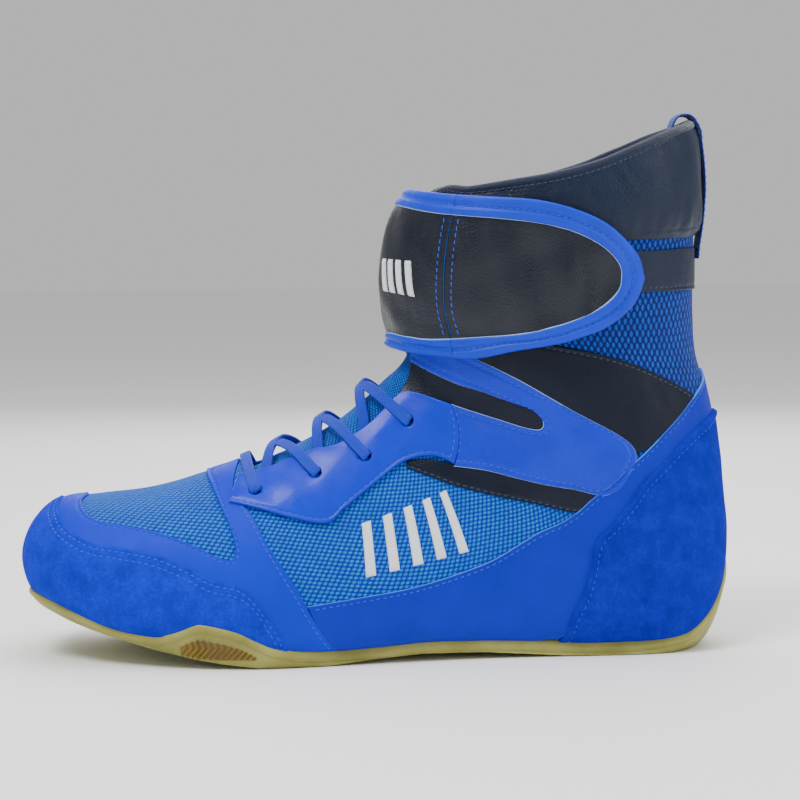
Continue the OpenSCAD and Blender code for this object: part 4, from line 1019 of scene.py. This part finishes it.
def raised_bars(name, count, place, rows, dome, ribs, body, replaces):
    """Plain slanted bars, raised like dense embroidery. place(i, s, t) gives a bar's u and a, and the
    heights that it starts from above and below; dome is its height, ribs is (depth, number)."""
    columns = 13
    s, t = grid(np.linspace(0, 1, rows), np.linspace(0, 1, columns))
    h = dome * np.sqrt(np.clip(1 - (2 * t - 1) ** 4, 0, 1)) \
        * np.clip(np.minimum(s, 1 - s) / 0.06, 0, 1) ** 0.5 \
        + ribs[0] * np.cos(2 * math.pi * s * ribs[1])
    V, F = [], []
    for i in range(count):
        u, a, ground, below = place(i, s, t)
        F += [f + 2 * i * rows * columns for f in shell_faces(rows, columns)]
        V += [on_skin(u, a, ground + h).reshape(-1, 3), on_skin(u, a, below).reshape(-1, 3)]
    add_mesh(name, np.concatenate(V), np.concatenate(F), ["thread_white"], body, replaces=replaces,
             slot="thread_white")


def quarter_bar(i, s, t):
    """Five bars on each quarter, the outer side first."""
    u = 9.6 + 0.42 * (i % 5) + 0.30 - 0.30 * s + 0.18 * t
    return u, (0.70 + 0.20 * s) * (-1 if i < 5 else 1), 0.05, -0.1


raised_bars("quarter_bars", 10, quarter_bar, 26, 0.62, (0.07, 9), "boot", "quarter_badge")

# ------------------------------------------------------------------ collar
panel("collar_band_pu",
    across_back([[23.1, -0.62], [23.07, -0.86], [23.05, -1.1], [23.03, -1.35], [23.08, -1.65],
        [23.1, -2]]),
    across_back([[22.2, -0.62], [22.2, -0.86], [22.2, -1.1], [22.2, -1.35], [22.3, -1.65], [22.35, -2]]),
    0.05, 0.9, "pad", 1.8, replaces="collar_band", slot="coated_black", stitch="B", inset=1.8,
    thread="thread_dark")


def collar_swell(u, a, t):
    """Fuller behind the strap, with soft dents and short tucks above the lower seam."""
    free = np.clip((np.abs(a + 2) - 0.9) / -0.5, 0, 1)
    p = skin(u, a)
    dents = 0.20 * waves(p * [1, 1, 0.5], 22, 31)
    tucks = 0.30 * waves(p * [1, 1, 0.12], 7, 32) * np.clip((t - 0.55) / 0.3, 0, 1)
    return (1 + free) * (1 + dents + tucks)


o = pad("collar_pad_pu",
    across_back([[24.55, -0.23], [24.78, -0.37], [24.58, -0.54], [24.53, -0.75], [24.51, -0.95],
        [24.58, -1.14], [24.73, -1.34], [24.86, -1.55], [24.93, -1.78], [24.97, -2]]),
    across_back([[23.3, -0.2], [23.25, -0.37], [23.2, -0.54], [23.2, -0.75], [23.2, -0.95],
        [23.2, -1.14], [23.22, -1.34], [23.24, -1.55], [23.26, -1.78], [23.28, -2]]),
    0.05, 0.6, "pad", 1.7, 14, -0.14, (170, 14), pitch=1.5, replaces="collar_pad", slot="pad_black",
    radius=0.7, swell=collar_swell)


def collar_binding():
    count = 420
    q = smooth_run(across_back(TOP_EDGE), count)
    q[:, 0] = np.minimum(q[:, 0] - 0.02, 24.98)
    P = on_skin(q[:, 0], q[:, 1], -1.2)
    N = outward(np.minimum(24.9, q[:, 0]), q[:, 1])
    Y = unit(np.cross(tangents(P), N))
    lump = 1 + 0.05 * waves(P, 9, 11)
    taper = np.clip(np.minimum(np.arange(count), count - 1 - np.arange(count)) / 6, 0.25, 1) ** 0.5
    ribs = circle(26) * (1 + 0.030 * np.cos(8 * np.arange(26) / 26 * 2 * math.pi))[:, None]
    tube("collar_binding_knit", P, N * (2.45 * lump * taper)[:, None], Y * (2.15 * lump * taper)[:, None],
         ribs, "binding", replaces="collar_binding", slot="coated_black")
    stitches("collar_binding_stitch", P + N * 2.2 + Y * np.sign((Y @ [0, 0, -1.0]))[:, None] * 1.5,
             N, "thread_dark", "boot", 2.4)


collar_binding()


def pull_loop():
    u = np.linspace(22.9, 24.86, 10)
    back = on_skin(u, np.full(10, -2.0), np.interp(u, [22.9, 23.1, 23.5, 24.1, 24.86],
                                                   [1.6, 1.9, 3.1, 4.0, 2.9]))
    arch = np.array([[128.4, 214.8], [125.2, 215.9], [121.8, 214.6], [119.7, 209.5], [120, 202],
                     [120.6, 192], [120.6, 182]])
    over = np.stack([arch[:, 0] + X_MID, np.full(7, Y_MID), arch[:, 1]], -1)
    P = smooth_run(np.concatenate([back * [1, 0, 1] + [0, Y_MID, 0], over]), 160)
    T = tangents(P)
    Y = unit(np.cross(T, [0, 1, 0]))
    x = np.linspace(-1, 1, 27)
    rib = 0.72 + 0.28 * np.abs(np.cos(3.5 * math.pi * x))
    face = np.stack([x, rib * (1 - x ** 8) + 0.05], -1)
    section = np.concatenate([face, (face * [1, -1])[::-1]])
    X = np.tile([0, 6.5, 0.0], (160, 1))
    tube("pull_loop_tape", P, X, Y * 0.62, section, "tape", replaces="pull_loop", slot="webbing")
    out = Y[:95] * np.sign(Y[40, 0])
    for side in (-1, 1):
        stitches("pull_loop_stitch%d" % (side + 1), P[:95] + X[:95] * 0.78 * side + out * 0.5, out,
                 pitch=2.6)


pull_loop()

# ------------------------------------------------------------------ tongue
o = pad("tongue_knit",
    TONGUE, inner_side(TONGUE), [-6.4, -6.9, -6.9], -4.7, "mesh_tongue", 0.9, 8, -0.06, (110, 16),
    pitch=2.2, body="tongue", replaces="tongue", slot="mesh_blue", radius=1.0)


def tongue_binding():
    side = [[17, -0.4], [19, -0.39], [21, -0.38], [23, -0.38], [24.5, -0.345], [24.9, -0.24]]
    edge = side + [[24.95, 0]] + [[p[0], -p[1]] for p in side[::-1]]
    q = smooth_run(edge, 200)
    P = on_skin(q[:, 0], q[:, 1], -5.4)
    N = outward(np.minimum(24.9, q[:, 0]), q[:, 1])
    Y = unit(np.cross(tangents(P), N))
    tube("tongue_binding_tape", P, N * 1.6, Y * 1.4, superellipse(20, 2.6), "binding", "tongue",
         replaces="tongue_binding", slot="coated_black")


tongue_binding()

# ------------------------------------------------------------------ lace
HIGH, DEEP, IN_HOLE = 2.75, -2.75, 0.2


def crossing(k, side, lift):
    """Lace from hole k up through the boot and over to the next hole on the other side."""
    p, q = HOLES[k], HOLES[k + 1]
    du, a, b = q[0] - p[0], side * p[1], -side * q[1]
    return [[p[0], a, IN_HOLE], [p[0] + 0.02 * du, a * 0.98, DEEP + 0.4],
            [p[0] + 0.10 * du, a * 0.85, DEEP], [p[0] + 0.22 * du, a * 0.62, DEEP + 0.7],
            [p[0] + 0.36 * du, a * 0.3, lift - 1.0], [p[0] + 0.5 * du, 0, lift],
            [p[0] + 0.64 * du, b * 0.28, lift + 0.6], [p[0] + 0.80 * du, b * 0.62, HIGH],
            [p[0] + 0.93 * du, b * 0.88, HIGH], [q[0], b, HIGH - 0.3]]


def tail(side):
    """Lace end from the top hole, tucked in along the eyestay."""
    q, a = HOLES[3], side * HOLES[3][1]
    return [[q[0], a, IN_HOLE], [q[0] + 0.1, a, DEEP + 0.4], [q[0] + 0.6, a * 0.96, DEEP],
            [q[0] + 1.6, a * 0.86, DEEP], [q[0] + 2.8, a * 0.8, DEEP]]


def half_lace(side):
    rows = []
    for k in range(3):
        over = (k + (side > 0)) % 2 == 0
        rows += crossing(k, side if k % 2 == 0 else -side, 1.2 if over else 0.2)
    return rows + tail(-side)


def lace():
    u0, a0 = HOLES[0]
    bar = [[u0 - 0.05 * (1 - t * t), -t * a0, HIGH if abs(t) > 0.6 else 1.6]
           for t in (-0.88, -0.5, 0, 0.5, 0.88)]
    Q = np.array(half_lace(1)[::-1] + [[u0, a0, HIGH - 0.3]] + bar + [[u0, -a0, HIGH - 0.3]]
                 + half_lace(-1))
    fine = 14
    s = np.linspace(0, len(Q) - 1, (len(Q) - 1) * fine + 1)
    q = curve(Q, s)
    rows = on_skin(Q[:, 0], Q[:, 1], Q[:, 2])
    P = curve(rows, s)
    N = outward(q[:, 0], q[:, 1])
    d = np.roll(P, -2 * fine, 0) - np.roll(P, 2 * fine, 0)
    d[:2 * fine], d[-2 * fine:] = d[2 * fine], d[-2 * fine - 1]
    flat = unit(d - N * (d * N).sum(-1, keepdims=True))
    X = unit(np.cross(N, flat))
    T = tangents(P)
    X = unit(X - T * (X * T).sum(-1, keepdims=True))
    Y = unit(np.cross(X, T))
    hole = np.exp(-((q[:, 2] - IN_HOLE) / 1.1) ** 2) * (np.abs(np.abs(q[:, 1]) - 0.43) < 0.05)
    narrow = (1 - 0.26 * hole)[:, None]
    x = np.linspace(-1, 1, 31)
    rib = (0.70 + 0.30 * np.abs(np.cos(2.5 * math.pi * x))) * (1 - np.abs(x) ** 7) ** 0.5
    face = np.stack([x, rib + 0.02], -1)
    section = np.concatenate([face, (face * [1, -1])[::-1][1:-1]])
    tube("lace_flat", P, X * 2.3 * narrow, Y * 0.68 * (1 + 0.15 * (1 - narrow)), section, "lace",
         replaces="lace", slot="lace")


lace()

# ------------------------------------------------------------------ strap
STRAP_TOP = [[24.25, 0.3], [24.55, 0.15], [24.65, 0], [24.6, -0.2], [24.4, -0.5], [24.25, -0.73],
    [24.1, -0.9], [23.85, -1.04], [23.55, -1.17], [23.2, -1.27], [22.9, -1.33], [22.52, -1.36]]
STRAP_LOW = [[16.3, 0.3], [15, 0.15], [14.2, 0], [15.2, -0.2], [17.7, -0.5], [19.2, -0.73],
    [20.05, -0.9], [20.7, -1.04], [21.2, -1.17], [21.7, -1.27], [22.1, -1.33], [22.5, -1.36]]
# The seam's place along the strap and its half gap; the strap's height on the shaft and its border
SEAM, GAP = 4.15 / 11, 0.0003
BED, TRIM = 3.15, 7.8
LIFT = np.array([[1.9, 1.9], [3.2, 2.2], [3.9, 2.4], [3.1, 2.4], [BED, BED]])


def across(s0, s1, t):
    """Guide along the strap from s0 to s1 at t of its width."""
    def at(s):
        s = s0 + (s1 - s0) * np.asarray(s, float)
        A, B = along(STRAP_TOP, s), along(STRAP_LOW, s)
        return A + (B - A) * np.asarray(t(s) if callable(t) else t)[..., None]
    return at


def rim(distance, low=False):
    """Where a line that stays this far from the strap's edge crosses it, as a function of s."""
    s, t = np.meshgrid(np.linspace(0, 1, 81), np.linspace(0, 1, 81), indexing="ij")
    q = along(STRAP_TOP, s) * (1 - t[..., None]) + along(STRAP_LOW, s) * t[..., None]
    step = np.linalg.norm(np.diff(skin(q[..., 0], q[..., 1]), axis=1), axis=-1)
    run = np.concatenate([np.zeros((81, 1)), np.cumsum(step, 1)], 1)
    reach = np.minimum(distance, 0.31 * run[:, -1])
    goal = run[:, -1] - reach if low else reach
    share = [np.interp(goal[i], run[i], t[i]) for i in range(81)]
    return lambda x: np.interp(x, s[:, 0], share)


def bend(s, reach):
    """Start and end of the soft bend at s: it begins where the whole width of the strap has passed."""
    t = np.linspace(0, 1, 9)
    A, B = along(STRAP_TOP, np.full(9, s)), along(STRAP_LOW, np.full(9, s))
    q = A + (B - A) * t[:, None]
    edge = np.concatenate([on_skin(q[:, 0], q[:, 1], d) for d in (0.5, 3, 6.6)])
    ahead = across(0, 1, 0.5)(np.array([s + 0.03]))[0]
    d = on_skin(ahead[0], ahead[1], 3) - edge[13]
    width = unit(edge[17] - edge[9])
    d = unit(d - width * (d @ width))
    start = edge[13] + d * max(0, ((edge - edge[13]) @ d).max())
    return tuple(start * 0.001), tuple((start + d * reach) * 0.001)


STRAP_ROOT = bend(0.0, 9.0)
STRAP_SEAM = bend(SEAM, 12.0)


def rises(t0, t1, low, rows=LIFT):
    return [[d[0] + (d[1] - d[0]) * t0 + low, d[0] + (d[1] - d[0]) * t1 + low] for d in rows]


def rolled(height, width):
    """Rolled border: a soft tube with a sewn channel down its middle."""
    def add(u, a, s, t, near):
        x = 2 * t - 1
        return height * np.sqrt(np.clip(1 - x ** 4, 0, 1)) - (0.35 + 0.8 * height) \
            * np.exp(-(x * width / 2 / 0.75) ** 2)
    return add


def trim_stitch(name, line, lift, body, count=160):
    s = np.linspace(0.01, 0.99, count)
    q = line(s)
    stitches(name, on_skin(q[:, 0], q[:, 1], height(lift, s, 0)), outward(q[:, 0], q[:, 1]), body=body)


def strap_bar(i, s, t):
    a = -0.10 - 0.07 * i - 0.04 * t - 0.03 * s
    ground = 5.05 + 0.85 * np.clip((a + 0.25) / 0.35 + 0.2, 0, 1)
    return 22.6 - 1.4 * s, a, ground, ground - 0.5


def strap_front():
    end = SEAM - GAP
    panel("strap_front_pu",
        across(0, end, 0.02), across(0, end, 0.98), rises(0.02, 0.98, 0), rises(0.02, 0.98, 2.0),
        "strap_black", 1.7, "strap_front", replaces="strap_front_panel", slot="coated_black",
        extra=folds(13, 0.6, 21), cut="e", cut_mat="cut_blue")
    rims = ((0.0, rim(TRIM), rim(TRIM / 2), 0.0),
            (rim(TRIM, True), 1.0, rim(TRIM / 2, True), 1.0))
    for k, (outer_t, inner_t, middle_t, t) in enumerate(rims):
        panel("strap_front_trim%d" % k,
            across(0, end, outer_t), across(0, end, inner_t), rises(t, t, 1.6), rises(t, t, 2.5),
            "strap_blue", 1.2, "strap_front", replaces="strap_front_trim" if k == 0 else (),
            slot="coated_blue", extra=rolled(0.75, TRIM), radius=0.8, cut="B" if k == 0 else "A",
            soft="AB")
        trim_stitch("strap_front_trim_stitch%d" % k, across(0, end, middle_t),
                    rises(t, t, 2.5), "strap_front")


def strap_tip():
    start = SEAM + GAP
    panel("strap_tip_pu",
        across(start, 1, 0.02), across(start, 1, 0.98), BED, BED + 2.0, "strap_black", 1.7, "strap_tip",
        replaces="strap_tip_panel", slot="coated_black", extra=folds(12, 0.85, 22))
    k = np.linspace(0, 1, 27)
    sides = [across(start, 1, t)(k) for t in (0, rim(TRIM), 1, rim(TRIM, True))]
    outer, inner = (np.concatenate([sides[i], sides[i + 2][-2::-1]]) for i in (0, 1))
    # towards the tip the border's inner edge is drawn in, so that the border keeps its width there
    half = len(k) - 1
    j = np.minimum(np.arange(2 * half + 1), 2 * half - np.arange(2 * half + 1))
    drawn = np.clip((j - 0.62 * half) / (0.38 * half), 0, None)[:, None]
    mid = inner + (np.array([22.5, -1.2]) - inner) * drawn * 0.9
    for _ in range(30):
        mid[1:-1] = (mid[:-2] + 2 * mid[1:-1] + mid[2:]) / 4
    panel("strap_tip_trim_tube",
        outer, mid, BED + 1.6, BED + 2.5, "strap_blue", 1.2, "strap_tip", replaces="strap_tip_trim",
        slot="coated_blue", extra=rolled(0.75, TRIM), radius=0.8, cut="B", soft="AB")
    trim_stitch("strap_tip_trim_stitch", guide((outer + mid) / 2), BED + 2.5, "strap_tip", 300)


def strap_seam():
    """Double seam where the tip part is sewn to the front part."""
    for i, s in enumerate((SEAM - 0.012, SEAM + 0.014)):
        t = np.linspace(rim(TRIM)(s) + 0.01, rim(TRIM, True)(s) - 0.02, 110)
        A, B = along(STRAP_TOP, np.full(110, s)), along(STRAP_LOW, np.full(110, s))
        q = A + (B - A) * t[:, None]
        stitches("strap_seam_stitch%d" % i, on_skin(q[:, 0], q[:, 1], BED + 2.12),
                 outward(q[:, 0], q[:, 1]), "thread_blue", "strap_front" if i == 0 else "strap_tip")


def strap_patches():
    raised_bars("strap_bars", 4, strap_bar, 30, 0.7, (0.05, 11), "strap_front", "strap_badge")
    panel("hook_patch_pile",
        [[23.4, -0.72], [23.2, -0.95], [22.9, -1.15], [22.6, -1.25]],
        [[20.2, -0.72], [20.9, -0.95], [21.6, -1.15], [22.2, -1.25]],
        2.35, BED + 0.1, "pile", 1.8, "strap_tip", replaces="hook_patch", slot="pile")
    panel("loop_patch_pile",
        [[23.05, -0.6], [23, -0.85], [22.9, -1.08], [22.8, -1.2]],
        [[20.2, -0.6], [20.8, -0.85], [21.3, -1.08], [21.8, -1.2]],
        0.5, 1.95, "pile", 1.8, replaces="loop_patch", slot="pile")
    panel("strap_anchor_pu",
        [[24.2, 0.29], [24.15, 0.45], [24.1, 0.62]],
        [[16.4, 0.29], [17.6, 0.45], [18.6, 0.62]],
        0.6, [3.9, 3.2, 2.4], "strap_black", 1.8, replaces="strap_anchor", slot="coated_black",
        stitch="e", inset=2.2, thread="thread_dark", double=2.4)


strap_front()
strap_tip()
strap_seam()
strap_patches()

# ------------------------------------------------------------------ hidden CAD pieces keep their shape
for node, mat in (("midsole", "eva"), ("insole_board", "board"), ("toe_puff", "stiffener"),
                  ("heel_counter", "stiffener"), ("collar_foam", "foam")):
    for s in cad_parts[node].material_slots:
        s.material = M[mat]

# ------------------------------------------------------------------ stage, light, camera
def stage():
    me = bpy.data.meshes.new("floor")
    me.from_pydata([(-6, -6, -0.0003), (6, -6, -0.0003), (6, 6, -0.0003), (-6, 6, -0.0003)], [],
                   [(0, 1, 2, 3)])
    floor = link("floor", me)
    m = Mat("floor_paper", Roughness=0.9, Specular_IOR_Level=0.1)
    m.colour(m.mix(m.noise(160, 2), (0.93, 0.93, 0.93, 1), (0.95, 0.95, 0.95, 1)))
    me.materials.append(m.bump((m.noise(1.5, 2), 0.02)))
    world = bpy.data.worlds.new("studio")
    world.use_nodes = True
    world.node_tree.nodes["Background"].inputs[0].default_value = (1, 1, 1, 1)
    world.node_tree.nodes["Background"].inputs[1].default_value = 0.6
    bpy.context.scene.world = world


def light(name, place, aim, size, power, size_y=None):
    data = bpy.data.lights.new(name, "AREA")
    data.shape = "RECTANGLE"
    data.size, data.size_y = size, size_y or size
    data.energy = power
    o = link(name, data)
    o.location = place
    o.rotation_euler = (Vector(aim) - Vector(place)).to_track_quat("-Z", "Y").to_euler()


def camera():
    target = np.array([10.1, 1.0, 101.0])
    yaw = math.radians(-3)
    place = np.array([target[0] + 950 * math.sin(yaw), target[1] - 950 * math.cos(yaw), 170.0])
    view = unit(target - place)
    right = unit(np.cross(view, [0, 0, 1]))
    up = np.cross(right, view)
    c, s = math.cos(math.radians(-0.5)), math.sin(math.radians(-0.5))
    right, up = right * c + up * s, up * c - right * s
    data = bpy.data.cameras.new("camera")
    data.lens = 2.448 * np.linalg.norm(target - place) * 36 / 800
    data.sensor_width = 36
    o = link("camera", data)
    p = place * MM
    o.matrix_world = Matrix(((right[0], up[0], -view[0], p[0]), (right[1], up[1], -view[1], p[1]),
                             (right[2], up[2], -view[2], p[2]), (0, 0, 0, 1)))
    bpy.context.scene.camera = o


stage()
light("key", (-0.50, -0.55, 1.15), (0, 0, 0.08), 0.5, 14)
light("top", (0.15, 0.1, 1.1), (0, 0, 0.08), 1.0, 9)
light("side", (0.9, -0.5, 0.55), (0.02, 0, 0.1), 0.5, 5, 0.9)
light("back", (0.1, 0.9, 0.7), (0, 0, 0.1), 0.9, 6)
camera()
